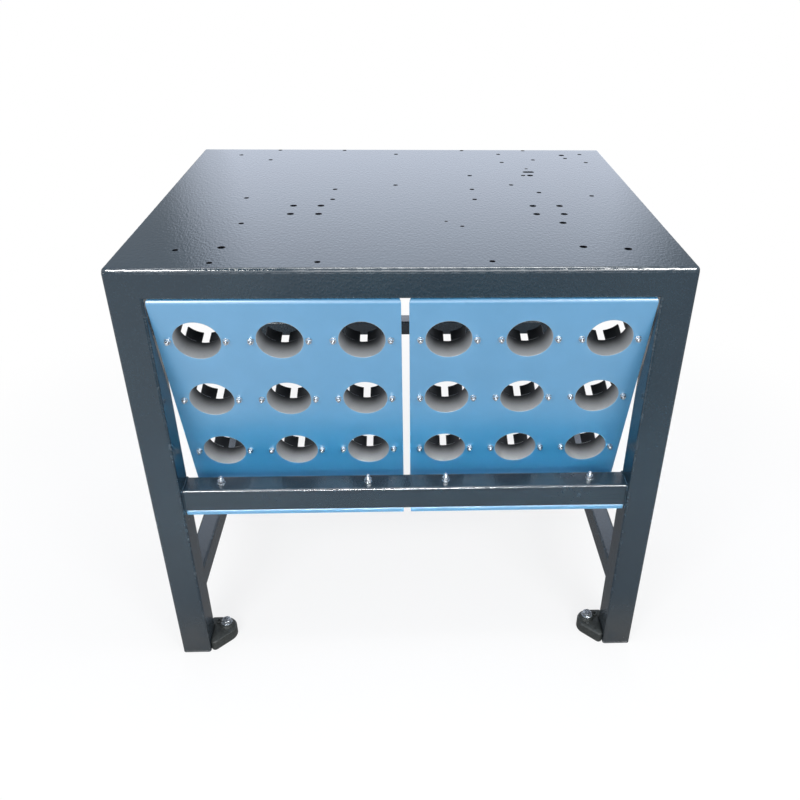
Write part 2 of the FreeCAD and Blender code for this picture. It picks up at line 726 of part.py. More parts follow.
# A rack is one bent sheet. It is written out as three pieces that meet where the bends
# begin: the punched slope and its upper and lower flange.
flange_bolt_y = top_rail_depth / 2 - half_depth
half_bend = (90 - rack_tilt) / 2
head_reach = (bend_radius + rack_sheet) * cosine(half_bend) / sine(half_bend)
foot_reach = bend_radius * cosine(half_bend) / sine(half_bend)
slope_foot = rack_slope - foot_reach
block_width = rack_width + 2 * rack_sheet
for side, x_sign, places in (("left", -1, rack_bolts_x[:2]), ("right", 1, rack_bolts_x[2:])):
    tools = upright_pins("upper_drill_" + side, places, flange_bolt_y, size("bolt_hole"),
                         rack_top_z - 2 * rack_sheet, 3 * rack_sheet)
    tools += upright_pins("lower_drill_" + side, places, -mid_rail_y, size("bolt_hole"),
                          rack_top_z - rack_drop - 2 * rack_sheet, 3 * rack_sheet)
    drills = doc.addObject("Part::Compound", "rack_drills_" + side)
    drills.Links = tools
    rack = worked("Cut", "rack_" + side, racks[side], drills)
    block_x = x_sign * rack_centre - block_width / 2
    slope = block("slope_block_" + side,
                  (block_x, rack_top_y + slope_foot * sine(rack_tilt) - rack_sheet * cosine(rack_tilt),
                   rack_top_z - slope_foot * cosine(rack_tilt) - rack_sheet * sine(rack_tilt)),
                  (block_width, 3 * rack_sheet, slope_foot - head_reach), (1, 0, 0), rack_tilt)
    flanges = worked("Cut", "rack_flanges_" + side, rack, slope)
    keep(worked("Common", "rack_panel_" + side, rack, slope))
    for end, drop in (("top", 0), ("bottom", rack_drop)):
        half = block("%s_block_%s" % (end, side),
                     (block_x, rack_top_y - rack_drop / 2, rack_top_z - rack_drop / 2 - drop),
                     (block_width, rack_drop, rack_drop))
        keep(worked("Common", "rack_%s_flange_%s" % (end, side), flanges, half))

# --- storage tubes -----------------------------------------------------------------------

tube_bore = size("tube_bore")
tube_outside = tube_bore + 2 * size("tube_wall")
flange_thickness = size("tube_flange_thickness")
tube_length = size("tube_length")
slot_foot = tube_length - size("tube_slot_depth")

tube = new_body("storage_tube")
ring = new_sketch(tube, "tube_flange_ring", XY)
round_hole(ring, "ring", 0, 0, tube_outside + 2 * size("tube_flange_width"))
pad(tube, ring, "tube_flange", flange_thickness)
ears = new_sketch(tube, "tube_ears", XY)
rounded_rectangle(ears, "ears", size("ear_spacing") + size("ear_width"), size("ear_width"),
                  size("ear_corner_radius"))
pad(tube, ears, "tube_ear_plate", flange_thickness)
wall = new_sketch(tube, "tube_wall", XY)
round_hole(wall, "wall", 0, 0, tube_outside)
pad(tube, wall, "tube_barrel", tube_length)
bore = new_sketch(tube, "tube_bore", XY)
round_hole(bore, "bore", 0, 0, tube_bore)
for ear, sign in (("a", -1), ("b", 1)):
    round_hole(bore, "screw_" + ear, sign * size("ear_spacing") / 2, 0, size("screw_hole"))
pocket(tube, bore, "tube_boring", reverse=True)


def slot_and_slit(sketch):
    """The slot between two fingers, with the slit that runs off its foot to one side."""
    half = size("tube_slot_width") / 2
    tip = half + size("tube_slit_length")
    slit_top = slot_foot + size("tube_slit_width")
    mouth = tube_length + size("tube_wall")
    corners = [(-half, mouth), (-half, slot_foot), (tip, slot_foot), (tip, slit_top),
               (half, slit_top), (half, mouth)]
    lines = []
    for a, b in zip(corners, corners[1:] + corners[:1]):
        lines.append(line(sketch, [p.value for p in a], [p.value for p in b]))
    for index, item in enumerate(lines):
        fix(sketch, "Coincident", item, END, lines[(index + 1) % len(lines)], START)
        fix(sketch, "Vertical" if index % 2 == 0 else "Horizontal", item)
    for number in (0, 2, 4):
        locate(sketch, "corner_%d" % number, lines[number], START, *corners[number])


doc.recompute()
cut = new_sketch(tube, "tube_slot", XZ)
slot_and_slit(cut)
slot = pocket(tube, cut, "tube_slotting")
doc.recompute()
fingers = tube.newObject("PartDesign::PolarPattern", "tube_fingers")
fingers.Originals = [slot]
fingers.Axis = ([item for item in tube.Origin.OriginFeatures if item.Role == "Z_Axis"][0], [""])
fingers.Angle = 360
fingers.Occurrences = TUBE_SLOTS
tube.Tip = fingers

# A tube stands square to the rack with its flange on the back of the sheet.
tube_turn = rack_tilt - 90
tube_spots = {"left": [], "right": []}
for side, x_sign in SIDES:
    for column, row in hole_spots:
        depth = along_slope(row)
        spot = (x_sign * rack_centre + column * column_pitch,
                rack_top_y + depth * sine(rack_tilt) + rack_sheet * cosine(rack_tilt),
                rack_top_z - depth * cosine(rack_tilt) + rack_sheet * sine(rack_tilt))
        number = int(column + (TUBE_COLUMNS - 1) / 2) + 1
        link = doc.addObject("App::Link", "tube_%s_r%d_c%d" % (side, row + 1, number))
        link.LinkedObject = tube
        keep(place(link, *spot, (1, 0, 0), tube_turn))
        tube_spots[side].append(link)

# --- fasteners ------------------------------------------------------------------------------


def hexagon(name, flats, height):
    """A six-sided bar: a hexagon is wider over its corners by 2 / sqrt(3)."""
    bar = doc.addObject("Part::Prism", name)
    bar.Polygon = 6
    bind(bar, "Circumradius", flats / Size("sqrt(3)", math.sqrt(3)))
    bind(bar, "Height", height)
    return bar


def rod(name, diameter, height):
    bar = doc.addObject("Part::Cylinder", name)
    bind(bar, "Radius", diameter / 2)
    bind(bar, "Height", height)
    return bar


def with_hole(name, blank, diameter, height):
    """A nut or a washer: a blank with a round hole down its middle."""
    hole = rod(name + "_hole", diameter, height)
    ring = doc.addObject("Part::Cut", name)
    ring.Base = blank
    ring.Tool = hole
    return ring


def headed(name, flats, head_height, diameter, shank):
    """A hexagon bolt, head down, with the underside of its head at the origin."""
    head = hexagon(name + "_head", flats, head_height)
    place(head, 0, 0, -head_height)
    stem = rod(name + "_shank", diameter, shank)
    bolt = doc.addObject("Part::Fuse", name)
    bolt.Base = head
    bolt.Tool = stem
    return bolt


def group(name, item, spots):
    """One node that holds the same small piece at several places."""
    copies = []
    for number, spot in enumerate(spots):
        copy = doc.addObject("App::Link", "%s_%d" % (name, number))
        copy.LinkedObject = item
        place(copy, *spot)
        copies.append(copy)
    bundle = doc.addObject("Part::Compound", name)
    bundle.Links = copies
    return bundle


def fixed_to_tubes(name, pair, side):
    """One node that holds a pair of small pieces at every tube of a rack."""
    copies = []
    for number, holder in enumerate(tube_spots[side]):
        copy = doc.addObject("App::Link", "%s_%d" % (name, number))
        copy.LinkedObject = pair
        copy.Placement = holder.Placement
        copy.setExpression("Placement", holder.Name + ".Placement")
        copies.append(copy)
    bundle = doc.addObject("Part::Compound", name)
    bundle.Links = copies
    return bundle


# screws of the tubes: head behind the ear, washer and nut on the face of the rack
screw_diameter = size("screw_diameter")
screw_washer = size("screw_washer_thickness")
screw_nut = size("screw_nut_height")
screw_bore = screw_diameter + 2 * size("thread_clearance")
screw_length = flange_thickness + rack_sheet + screw_washer + screw_nut + size("screw_tail")
screw = headed("tube_screw", size("screw_flats"), size("screw_head_height"), screw_diameter,
               screw_length)
washer = with_hole("screw_washer", rod("screw_washer_disc", size("screw_washer_diameter"),
                                       screw_washer), screw_bore, screw_washer)
nut = with_hole("screw_nut", hexagon("screw_nut_blank", size("screw_flats"), screw_nut),
                screw_bore, screw_nut)
half_ears = size("ear_spacing") / 2
screw_pair = group("screw_pair", screw, [(sign * half_ears, 0, flange_thickness, (1, 0, 0), 180)
                                         for sign in (-1, 1)])
washer_pair = group("washer_pair", washer, [(sign * half_ears, 0, -(rack_sheet + screw_washer))
                                            for sign in (-1, 1)])
nut_pair = group("nut_pair", nut, [(sign * half_ears, 0, -(rack_sheet + screw_washer + screw_nut))
                                   for sign in (-1, 1)])
for side, x_sign in SIDES:
    keep(fixed_to_tubes("tube_screws_" + side, screw_pair, side))
    keep(fixed_to_tubes("screw_washers_" + side, washer_pair, side))
    keep(fixed_to_tubes("screw_nuts_" + side, nut_pair, side))

# bolts that hold the racks' lower flanges under the front middle rail
bolt_diameter = size("bolt_diameter")
bolt_washer = size("bolt_washer_thickness")
bolt_nut = size("bolt_nut_height")
bolt_bore = bolt_diameter + 2 * size("thread_clearance")
lower_flange_bottom = rack_top_z - rack_drop - rack_sheet
rail_bolt = headed("rail_bolt", size("bolt_flats"), size("bolt_head_height"), bolt_diameter,
                   rack_sheet + mid_rail_height + bolt_washer + bolt_nut + size("bolt_tail"))
bolt_washer_ring = with_hole("bolt_washer", rod("bolt_washer_disc", size("bolt_washer_diameter"),
                                                bolt_washer), bolt_bore, bolt_washer)
bolt_nut_ring = with_hole("bolt_nut", hexagon("bolt_nut_blank", size("bolt_flats"), bolt_nut),
                          bolt_bore, bolt_nut)
keep(group("rail_bolts", rail_bolt, [(x, -mid_rail_y, lower_flange_bottom) for x in rack_bolts_x]))
keep(group("rail_bolt_washers", bolt_washer_ring,
           [(x, -mid_rail_y, front_rail_top) for x in rack_bolts_x]))
keep(group("rail_bolt_nuts", bolt_nut_ring,
           [(x, -mid_rail_y, front_rail_top + bolt_washer) for x in rack_bolts_x]))

# bolts that hold the racks' upper flanges to the underside of the front top rail
flange_bolt = headed("flange_bolt", size("bolt_flats"), size("bolt_head_height"), bolt_diameter,
                     rack_sheet + rail_wall + size("bolt_tail"))
keep(group("upper_flange_bolts", flange_bolt,
           [(x, flange_bolt_y, rack_top_z - rack_sheet) for x in rack_bolts_x]))

# --- lugs at the feet, with their anchor bolts ------------------------------------------------

lug_height = size("lug_height")
boss_radius = size("lug_boss_radius")
toe_radius = size("lug_toe_radius")
boss_y = size("lug_boss_from_front")
toe_y = size("lug_toe_from_front")


def lug_outline(sketch):
    """Two circles of unlike size against the leg, wrapped by straight tangents."""
    big, small = boss_radius.value, toe_radius.value
    big_y, small_y = boss_y.value, toe_y.value
    run = (big - small, big_y - small_y)
    lean = math.atan2(run[0], run[1])
    grow = math.asin((big - small) / math.hypot(*run))
    angle = -(lean + grow)
    touch = (math.cos(angle), math.sin(angle))
    big_touch = (big + big * touch[0], big_y + big * touch[1])
    small_touch = (small + small * touch[0], small_y + small * touch[1])
    back = line(sketch, (0, big_y), (0, small_y))
    toe = arc(sketch, (small, small_y), small, math.pi, 2 * math.pi + angle)
    side = line(sketch, small_touch, big_touch)
    boss = arc(sketch, (big, big_y), big, angle, math.pi)
    fix(sketch, "Tangent", back, END, toe, START)
    fix(sketch, "Tangent", toe, END, side, START)
    fix(sketch, "Tangent", side, END, boss, START)
    fix(sketch, "Tangent", boss, END, back, START)
    fix(sketch, "Vertical", back)
    fix(sketch, "PointOnObject", back, START, Y_AXIS)
    drive(sketch, "boss_radius", "Radius", boss, boss_radius)
    drive(sketch, "toe_radius", "Radius", toe, toe_radius)
    drive(sketch, "boss_y", "DistanceY", ROOT, 1, boss, CENTRE, boss_y)
    drive(sketch, "toe_y", "DistanceY", ROOT, 1, toe, CENTRE, toe_y)


def mirrored(item, name, normal):
    """The same piece on the other side of the table's middle plane."""
    copy = doc.addObject("Part::Mirroring", name)
    copy.Source = item
    copy.Normal = normal
    return copy


lug = new_body("foot_lug_front_left")
outline = new_sketch(lug, "foot_lug_outline", XY)
lug_outline(outline)
lug_pad = pad(lug, outline, "foot_lug_block", lug_height)
round_top_edge(lug, lug_pad, "foot_lug_edge", lug_height, size("lug_edge_radius"))
anchor_slot = new_sketch(lug, "foot_lug_slot_outline", XY)
anchor_x = size("anchor_from_leg")
slot_travel = size("anchor_slot_travel")
obround(anchor_slot, "anchor_slot", anchor_x - slot_travel / 2, boss_y,
        size("anchor_hole") + slot_travel, size("anchor_hole"))
pocket(lug, anchor_slot, "foot_lug_slot", reverse=True)
keep(place(lug, leg_width - half_width, -half_depth, 0))
across = FreeCAD.Vector(1, 0, 0)
back_to_front = FreeCAD.Vector(0, 1, 0)
front_right = keep(mirrored(lug, "foot_lug_front_right", across))
keep(mirrored(lug, "foot_lug_rear_left", back_to_front))
keep(mirrored(front_right, "foot_lug_rear_right", back_to_front))

anchor_washer = size("anchor_washer_thickness")
anchor_bolt = headed("anchor_bolt", size("anchor_flats"), size("anchor_head_height"),
                     size("anchor_diameter"), anchor_washer + lug_height)
anchor_ring = with_hole("anchor_washer", rod("anchor_washer_disc", size("anchor_washer_diameter"),
                                             anchor_washer),
                        size("anchor_diameter") + 2 * size("thread_clearance"), anchor_washer)
anchors = [(x_sign * (half_width - leg_width - anchor_x), y_sign * (half_depth - boss_y))
           for end, y_sign in ENDS for side, x_sign in SIDES]
keep(group("anchor_bolts", anchor_bolt,
           [(x, y, lug_height + anchor_washer, (1, 0, 0), 180) for x, y in anchors]))
keep(group("anchor_washers", anchor_ring, [(x, y, lug_height) for x, y in anchors]))

# --- checks and export --------------------------------------------------------------------------

doc.recompute()
for item in doc.Objects:
    faults = [state for state in item.State if state in ("Invalid", "Error")]
    if faults:
        raise RuntimeError("%s is %s" % (item.Label, ", ".join(faults)))
for item in nodes:
    shape = Part.getShape(item)
    if shape.isNull() or not shape.isValid():
        raise RuntimeError("%s has no valid shape" % item.Label)
    box = shape.BoundBox
    print("%-26s %2d solids  %10.1f mm3  x %.1f %.1f  y %.1f %.1f  z %.1f %.1f" % (
        item.Label, len(shape.Solids), shape.Volume, box.XMin, box.XMax, box.YMin, box.YMax,
        box.ZMin, box.ZMax))
    shape.exportStep("parts/%s.step" % item.Label)
print("%d nodes written" % len(nodes))
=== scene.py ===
import math

import bmesh
import bpy
import numpy as np
from mathutils import Matrix, Vector
from mathutils.geometry import delaunay_2d_cdt


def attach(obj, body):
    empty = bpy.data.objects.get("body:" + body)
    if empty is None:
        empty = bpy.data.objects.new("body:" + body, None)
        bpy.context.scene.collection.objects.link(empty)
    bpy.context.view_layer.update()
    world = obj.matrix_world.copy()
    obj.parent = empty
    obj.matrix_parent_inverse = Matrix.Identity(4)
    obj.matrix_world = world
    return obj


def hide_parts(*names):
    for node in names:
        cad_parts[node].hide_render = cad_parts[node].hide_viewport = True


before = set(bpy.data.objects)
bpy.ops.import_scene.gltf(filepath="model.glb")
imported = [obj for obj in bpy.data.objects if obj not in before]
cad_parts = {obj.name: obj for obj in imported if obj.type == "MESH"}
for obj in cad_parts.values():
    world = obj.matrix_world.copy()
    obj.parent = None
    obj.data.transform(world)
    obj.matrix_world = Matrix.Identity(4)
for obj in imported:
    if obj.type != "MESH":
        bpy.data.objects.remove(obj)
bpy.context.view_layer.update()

# Assembly table: welded square-tube stand, drilled top, two sloping racks of storage tubes.
# Shapes are worked out in millimetres and become metres where the mesh is made.
# +X is to the right seen from the front, +Y to the back, +Z up, origin on the floor.

# --- sizes of the table, as in the part -------------------------------------------------

WIDTH, DEPTH, HEIGHT = 1000, 840, 895
PLATE, PLATE_INSET, PLATE_ROUND, PLATE_CORNER = 5, 3, 2.5, 3
LEG, LEG_WALL, LEG_ROUND, FOOT_PLATE = 60, 3, 5, 5
BAR, THIN_BAR, BAR_WALL, BAR_ROUND = 50, 40, 3, 5
FRAME_TOP = HEIGHT - PLATE
FRONT_RAIL_TOP, REAR_RAIL_TOP, STRETCHER_TOP = 436, 444, 198
RAIL_Y = DEPTH / 2 - 35                     # middle of the middle rails, front and rear
RACK_TILT = math.radians(15)
RACK_SHEET = 2
RACK_DROP, RACK_LIP, RACK_FLANGE = 454, 10, 42
RACK_NOSE = -407                            # y of the lower flange's front
RACK_TOP = np.array([-419.0, 840.0])        # y, z of the rack's upper corner
RACK_CENTRE, RACK_WIDTH = 222.5, 431
ROWS = (91, 236, 381)                       # down the slope
COLUMNS = (-145, 0, 145)                    # across, from the rack's middle
PITCH = 145
BOLTS_X = (-367.5, -77.5, 77.5, 367.5)
SIDES = (("left", -1), ("right", 1))
ENDS = (("front", -1), ("rear", 1))

# single holes of the top: radius, x, y
SINGLE_HOLES = [
    (4.5, -398, 357), (4.5, -309, 408), (4.5, -320, 309), (4.5, -148, 408), (4.5, -18, 368),
    (4.5, -18, 86), (4.5, -326, -13), (4.5, -309, -182), (6.75, -321, -317), (4.5, -398, -330),
    (4.5, -327, -393), (4.5, -147, -390), (4.5, 148, 408), (4.5, 304, 408), (4.5, 317, 313),
    (6.75, 395, 360), (4.5, 399, 329), (3, 289, 228), (4.5, 274, 168), (6.75, 290, 168),
    (4.5, 151, 166), (4.5, 237, 88), (4.5, 290, 28), (4.5, 399, 3), (6.75, 306, -180),
    (2, 81, -170), (3, 110, -200), (6.75, 319, -317), (6.75, 397, -329), (4.5, 149, -389),
]
# rectangles of four holes: radius, middle x and y, spacing x and y
HOLE_PATTERNS = [
    (4.5, 0, 15, 295, 75), (4.5, 340, 329, 205, 82), (6.75, -195.5, -95, 55, 55),
    (6.75, 290.5, -97, 55, 55),
]
CABLE_SLOT = (6, 290, 198, 26)              # radius, middle x and y, overall length


# --- surfaces ---------------------------------------------------------------------------


def grid(points, wear_and_painted_light=0.0, close_u=False, close_v=False):
    """A surface from points[u, v]: cell (i, j) is the quad i,j  i+1,j  i+1,j+1  i,j+1."""
    rows, columns = points.shape[:2]
    index = np.arange(rows * columns).reshape(rows, columns)
    if close_u:
        index = np.concatenate([index, index[:1]], 0)
    if close_v:
        index = np.concatenate([index, index[:, :1]], 1)
    quads = np.stack([index[:-1, :-1], index[1:, :-1], index[1:, 1:], index[:-1, 1:]], -1)
    wear_and_painted_light = np.broadcast_to(wear_and_painted_light, (rows, columns))
    return points.reshape(-1, 3), quads.reshape(-1, 4), wear_and_painted_light.reshape(-1)


def moved(patch, turn, shift):
    """A patch turned by a 3 x 3 matrix and shifted."""
    points, quads, wear_and_painted_light = patch
    return points @ turn.T + shift, quads, wear_and_painted_light


def joined(patches):
    """Several patches as one, the quads counting on from one patch to the next."""
    starts = np.cumsum([0] + [len(p[0]) for p in patches[:-1]])
    return (np.concatenate([p[0] for p in patches]),
            np.concatenate([p[1] + start for p, start in zip(patches, starts)]),
            np.concatenate([p[2] for p in patches]))


def welded(points, quads, wear_and_painted_light, tolerance=2e-4):
    """Points that round to the same place become one; quads that lose a corner become
    triangles, and those that lose more go."""
    keys = np.round(points / tolerance).astype(np.int64)
    _, first, inverse = np.unique(keys, axis=0, return_index=True, return_inverse=True)
    quads = inverse.reshape(-1)[quads]
    same = quads == np.roll(quads, -1, axis=1)
    count = same.sum(1)
    whole = quads[count == 0]
    whole = whole[(whole[:, 0] != whole[:, 2]) & (whole[:, 1] != whole[:, 3])]
    cut = quads[count == 1]
    drop = same[count == 1].argmax(1)
    keep = (drop[:, None] + 1 + np.arange(3)) % 4
    triangles = np.take_along_axis(cut, keep, 1)
    distinct = ((triangles[:, 0] != triangles[:, 1]) & (triangles[:, 1] != triangles[:, 2])
                & (triangles[:, 0] != triangles[:, 2]))
    return points[first], whole.tolist() + triangles[distinct].tolist(), wear_and_painted_light[first]


def make_piece(name, patches, finish, stands_for, rounded=0.0):
    """One piece of the table, which stands for some of its nodes or for none.

    Faces turn outwards. A point's normal is the sum of its faces' areas times their
    normals, so a flat stays flat beside its narrow rounding. With rounded, a width in
    millimetres, a Bevel breaks the edges instead.
    """
    points, faces, wear_and_painted_light = welded(*joined(patches))
    mesh = bpy.data.meshes.new(name)
    mesh.from_pydata((points * 0.001).tolist(), [], faces)
    shape = bmesh.new()
    shape.from_mesh(mesh)
    bmesh.ops.recalc_face_normals(shape, faces=shape.faces)
    shape.to_mesh(mesh)
    shape.free()
    # The wear attribute, a value per point: rubbed wear on the lugs and the zinc; on the dark
    # enamel rubbed paint and painted highlight along edges, and painted shade in the top's holes
    # below nought; painted highlight along the blue sheet's edges; painted shade by depth in the
    # tubes.
    mesh.attributes.new("wear_and_painted_light", "FLOAT", "POINT").data.foreach_set("value", wear_and_painted_light.astype(np.float32))
    mesh.shade_smooth()
    if not rounded:
        mesh.normals_split_custom_set_from_vertices(area_normals(mesh))
    mesh.materials.append(finish)
    piece = bpy.data.objects.new(name, mesh)
    bpy.context.scene.collection.objects.link(piece)
    if rounded:
        bevel = piece.modifiers.new("edges", "BEVEL")
        bevel.width, bevel.segments = rounded * 0.001, 2
        bevel.limit_method, bevel.angle_limit = "ANGLE", math.radians(40)
        bevel.harden_normals = True
    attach(piece, "root")
    if stands_for:
        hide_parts(*stands_for)


def area_normals(mesh):
    """Normal of each point: sum over its faces of area times face normal, made unit."""

    def read(items, name, size=1, kind=float):
        values = np.empty(len(items) * size, kind)
        items.foreach_get(name, values)
        return values

    normals, areas = read(mesh.polygons, "normal", 3), read(mesh.polygons, "area")
    counts = read(mesh.polygons, "loop_total", kind=np.int32)
    vertices = read(mesh.loops, "vertex_index", kind=np.int32)
    share = np.repeat(normals.reshape(-1, 3) * areas[:, None], counts, axis=0)
    total = np.stack([np.bincount(vertices, share[:, k], len(mesh.vertices)) for k in range(3)], -1)
    return total / np.maximum(np.linalg.norm(total, axis=1, keepdims=True), 1e-30)


# --- outlines ---------------------------------------------------------------------------


def box_outline(width, height, radii, steps=5):
    """Rounded rectangle about the origin: corner k is centre_k + r_k (cos a, sin a), with a
    from 90 k - 90 to 90 k degrees. Corners go lower right, upper right, upper left, lower
    left. Also returns the wear, which peaks half way round a corner, and which the enamel
    turns into rubbed paint and painted highlight."""
    radii = np.broadcast_to(radii, 4).astype(float)
    signs = np.array([(1, -1), (1, 1), (-1, 1), (-1, -1)])
    centres = signs * (np.array([width, height]) / 2 - radii[:, None])
    turn = np.linspace(0, 1, steps + 1)
    angle = np.radians(90 * (np.arange(4)[:, None] - 1 + turn))
    points = centres[:, None] + radii[:, None, None] * np.stack([np.cos(angle), np.sin(angle)], -1)
    return points.reshape(-1, 2), np.tile(np.sin(np.pi * turn) ** 0.5, 4)


def bent_path(corners, radii, steps=6):
    """Straight runs between corners, each inner corner rounded by an arc of its radius:
    centre = corner + middle r / sin(half angle), arc from one tangent point to the other."""
    corners = np.asarray(corners, float)
    pieces = [corners[:1]]
    for before, corner, after, radius in zip(corners, corners[1:], corners[2:], radii):
        back = (before - corner) / np.linalg.norm(before - corner)
        ahead = (after - corner) / np.linalg.norm(after - corner)
        half = math.acos(np.clip(back @ ahead, -1, 1)) / 2
        middle = (back + ahead) / np.linalg.norm(back + ahead)
        centre = corner + middle * radius / math.sin(half)
        first = corner + back * radius / math.tan(half)
        last = corner + ahead * radius / math.tan(half)
        start = math.atan2(*(first - centre)[::-1])
        sweep = (math.atan2(*(last - centre)[::-1]) - start + math.pi) % (2 * math.pi) - math.pi
        angle = start + sweep * np.linspace(0, 1, steps + 1)
        pieces.append(centre + radius * np.stack([np.cos(angle), np.sin(angle)], -1))
    return np.concatenate(pieces + [corners[-1:]])


def resampled(path, closed, step=0.8, count=None):
    """The same path with its points evenly apart, measured along it, by about a step or in a
    count of steps. Also returns each point's length along the path."""
    if closed:
        path = np.concatenate([path, path[:1]])
    along = np.concatenate([[0], np.cumsum(np.linalg.norm(np.diff(path, axis=0), axis=1))])
    count = count or max(int(round(along[-1] / step)), 3)
    at = np.linspace(0, along[-1], count + 1)
    at = at[:-1] if closed else at
    return np.stack([np.interp(at, along, path[:, k]) for k in range(path.shape[1])], -1), at


def placed(flat, level, axis):
    """Points of a flat outline put at a level along an axis: x takes (level, a, b), y takes
    (a, level, b) and z takes (a, b, level)."""
    level = np.broadcast_to(np.asarray(level, float), flat.shape[:-1])
    a, b = flat[..., 0], flat[..., 1]
    order = {"x": (level, a, b), "y": (a, level, b), "z": (a, b, level)}[axis]
    return np.stack(order, -1)


def carried_round(path, angle):
    """A path of (radius, height) carried round the upright axis: x = r cos a, y = r sin a. A
    radius may change with the angle."""
    return np.stack([np.stack([r * np.cos(angle), r * np.sin(angle), np.full_like(angle, z)], -1)
                     for r, z in path])


# --- frame: legs, rails, stretchers and their welds -------------------------------------


def hollow_bar(width, height, wall, radii, middle, start, end, axis):
    """A square tube: the outer outline from start to end, the inner outline back from end to
    start, and round again."""
    outer, wear_and_painted_light = box_outline(width, height, radii)
    inner, _ = box_outline(width - 2 * wall, height - 2 * wall,
                           np.maximum(np.broadcast_to(radii, 4) - wall, 0.5))
    outer, inner = outer + np.asarray(middle), inner + np.asarray(middle)
    rings = [placed(outline, level, axis) for outline, level in
             ((outer, start), (outer, end), (inner, end), (inner, start))]
    return grid(np.stack(rings), np.outer([1, 1, 0, 0], wear_and_painted_light), True, True)


RIPPLE_PITCH = 3.4       # of the weld beads


def weld_bead(outline, level, away, axis, radius=2.2, closed=True):
    """A fillet bead along an outline that lies flat at a level: a tube whose radius ripples,
    r (1 + 0.12 cos(2 pi (s + lag) / pitch)), the lag bending each ripple to a crescent. An
    open bead closes to a point at each end."""
    path, at = resampled(outline, closed)
    if closed:
        ahead = np.roll(path, -1, 0) - np.roll(path, 1, 0)
    else:
        ahead = np.gradient(path, axis=0)
    ahead /= np.linalg.norm(ahead, axis=1, keepdims=True)
    normal = np.stack([ahead[:, 1], -ahead[:, 0]], -1)
    turn = np.radians(np.arange(0, 360, 36))
    lag = 1.3 * np.cos(turn - math.radians(45))
    ripple = 1 + 0.12 * np.cos(2 * np.pi * (at[:, None] + lag) / RIPPLE_PITCH)
    size = radius * ripple * (1 + 0.06 * np.sin(at * 0.31 + level))[:, None]
    if not closed:
        size = size * np.minimum(1, np.minimum(at, at[-1] - at) / 3)[:, None] ** 0.5
    flat = path[:, None] + (0.3 + size * np.cos(turn))[..., None] * normal[:, None]
    out = level + away * (0.3 + size * np.sin(turn))
    patches = [grid(placed(flat, out, axis), 0.25, closed, True)]
    if not closed:
        rings = patches[0][0].reshape(len(path), len(turn), 3)
        patches += [end_cap(rings[0]), end_cap(rings[-1])]
    return joined(patches)


def end_cap(ring):
    """Closes a ring of points with a fan about its middle."""
    return grid(np.stack([ring, np.broadcast_to(ring.mean(0), ring.shape)]), 0.0, False, True)


def closed_foot(x_sign, y_sign):
    """The plate that closes a leg: the leg's outline, its lower edge rounded by 1 mm."""
    middle = np.array([x_sign, y_sign]) * (np.array([WIDTH, DEPTH]) - LEG) / 2
    levels = [(1 - math.sin(a), 1 - math.cos(a)) for a in np.radians([0, 30, 60, 90])]
    rings, wear_and_painted_light_rows = [], []
    for level, inset in [(FOOT_PLATE, 0.0)] + levels:
        outline, wear_and_painted_light = box_outline(LEG - 2 * inset, LEG - 2 * inset, LEG_ROUND - inset)
        rings.append(placed(outline + middle, level, "z"))
        wear_and_painted_light_rows.append(np.maximum(wear_and_painted_light, 0.8 if level < FOOT_PLATE else 0))
    for level in (0.0, FOOT_PLATE):
        rings.append(np.broadcast_to([*middle, level], rings[0].shape))
        wear_and_painted_light_rows.append(np.zeros(len(rings[0])))
    return grid(np.stack(rings), np.stack(wear_and_painted_light_rows), True, True)


def leg_tube(x_sign, y_sign):
    """A leg: its outer outline up to where the top rails' flat faces begin, then up inside
    them, drawn in by 1 mm on the two outer sides, and back down the inner outline."""
    middle = np.array([x_sign, y_sign]) * (np.array([WIDTH, DEPTH]) - LEG) / 2
    outer, wear_and_painted_light = box_outline(LEG, LEG, LEG_ROUND)
    inside = box_outline(LEG - 1, LEG - 1, LEG_ROUND - 1)[0] - np.array([x_sign, y_sign]) * 0.5
    inner = box_outline(LEG - 2 * LEG_WALL, LEG - 2 * LEG_WALL, LEG_ROUND - LEG_WALL)[0]
    turn = FRAME_TOP - BAR + BAR_ROUND
    rings = [placed(outline + middle, level, "z") for outline, level in
             ((outer, FOOT_PLATE), (outer, turn), (inside, turn + 0.3), (inside, FRAME_TOP - 0.3),
              (inner, FRAME_TOP - 0.3), (inner, FOOT_PLATE))]
    return grid(np.stack(rings), np.outer([1, 1, 0, 0, 0, 0], wear_and_painted_light), True, True)


def top_rail(first):
    """One side of the top frame, mitred: a hollow section whose point at d from the outer
    face runs along the rectangle drawn in by d, from the middle of one corner to the middle
    of the next."""
    outer, wear_and_painted_light = box_outline(BAR, BAR, BAR_ROUND)
    inner = box_outline(BAR - 2 * BAR_WALL, BAR - 2 * BAR_WALL, BAR_ROUND - BAR_WALL)[0]
    steps = 6
    along = np.arange(first, first + steps + 2) % (4 * steps + 4)

    def carried(section):
        rows = []
        for inward, up in section + BAR / 2:
            outline = box_outline(WIDTH - 2 * inward, DEPTH - 2 * inward,
                                  max(LEG_ROUND - inward, 0.3), steps)[0]
            rows.append(placed(outline[along], FRAME_TOP - BAR + up, "z"))
        return np.stack(rows, 1)

    outer, inner = carried(outer), carried(inner)
    ends = [grid(np.stack([outer[k], inner[k]]), 0.0, False, True) for k in (0, -1)]
    return [grid(outer, wear_and_painted_light, False, True), grid(inner, 0.0, False, True)] + ends


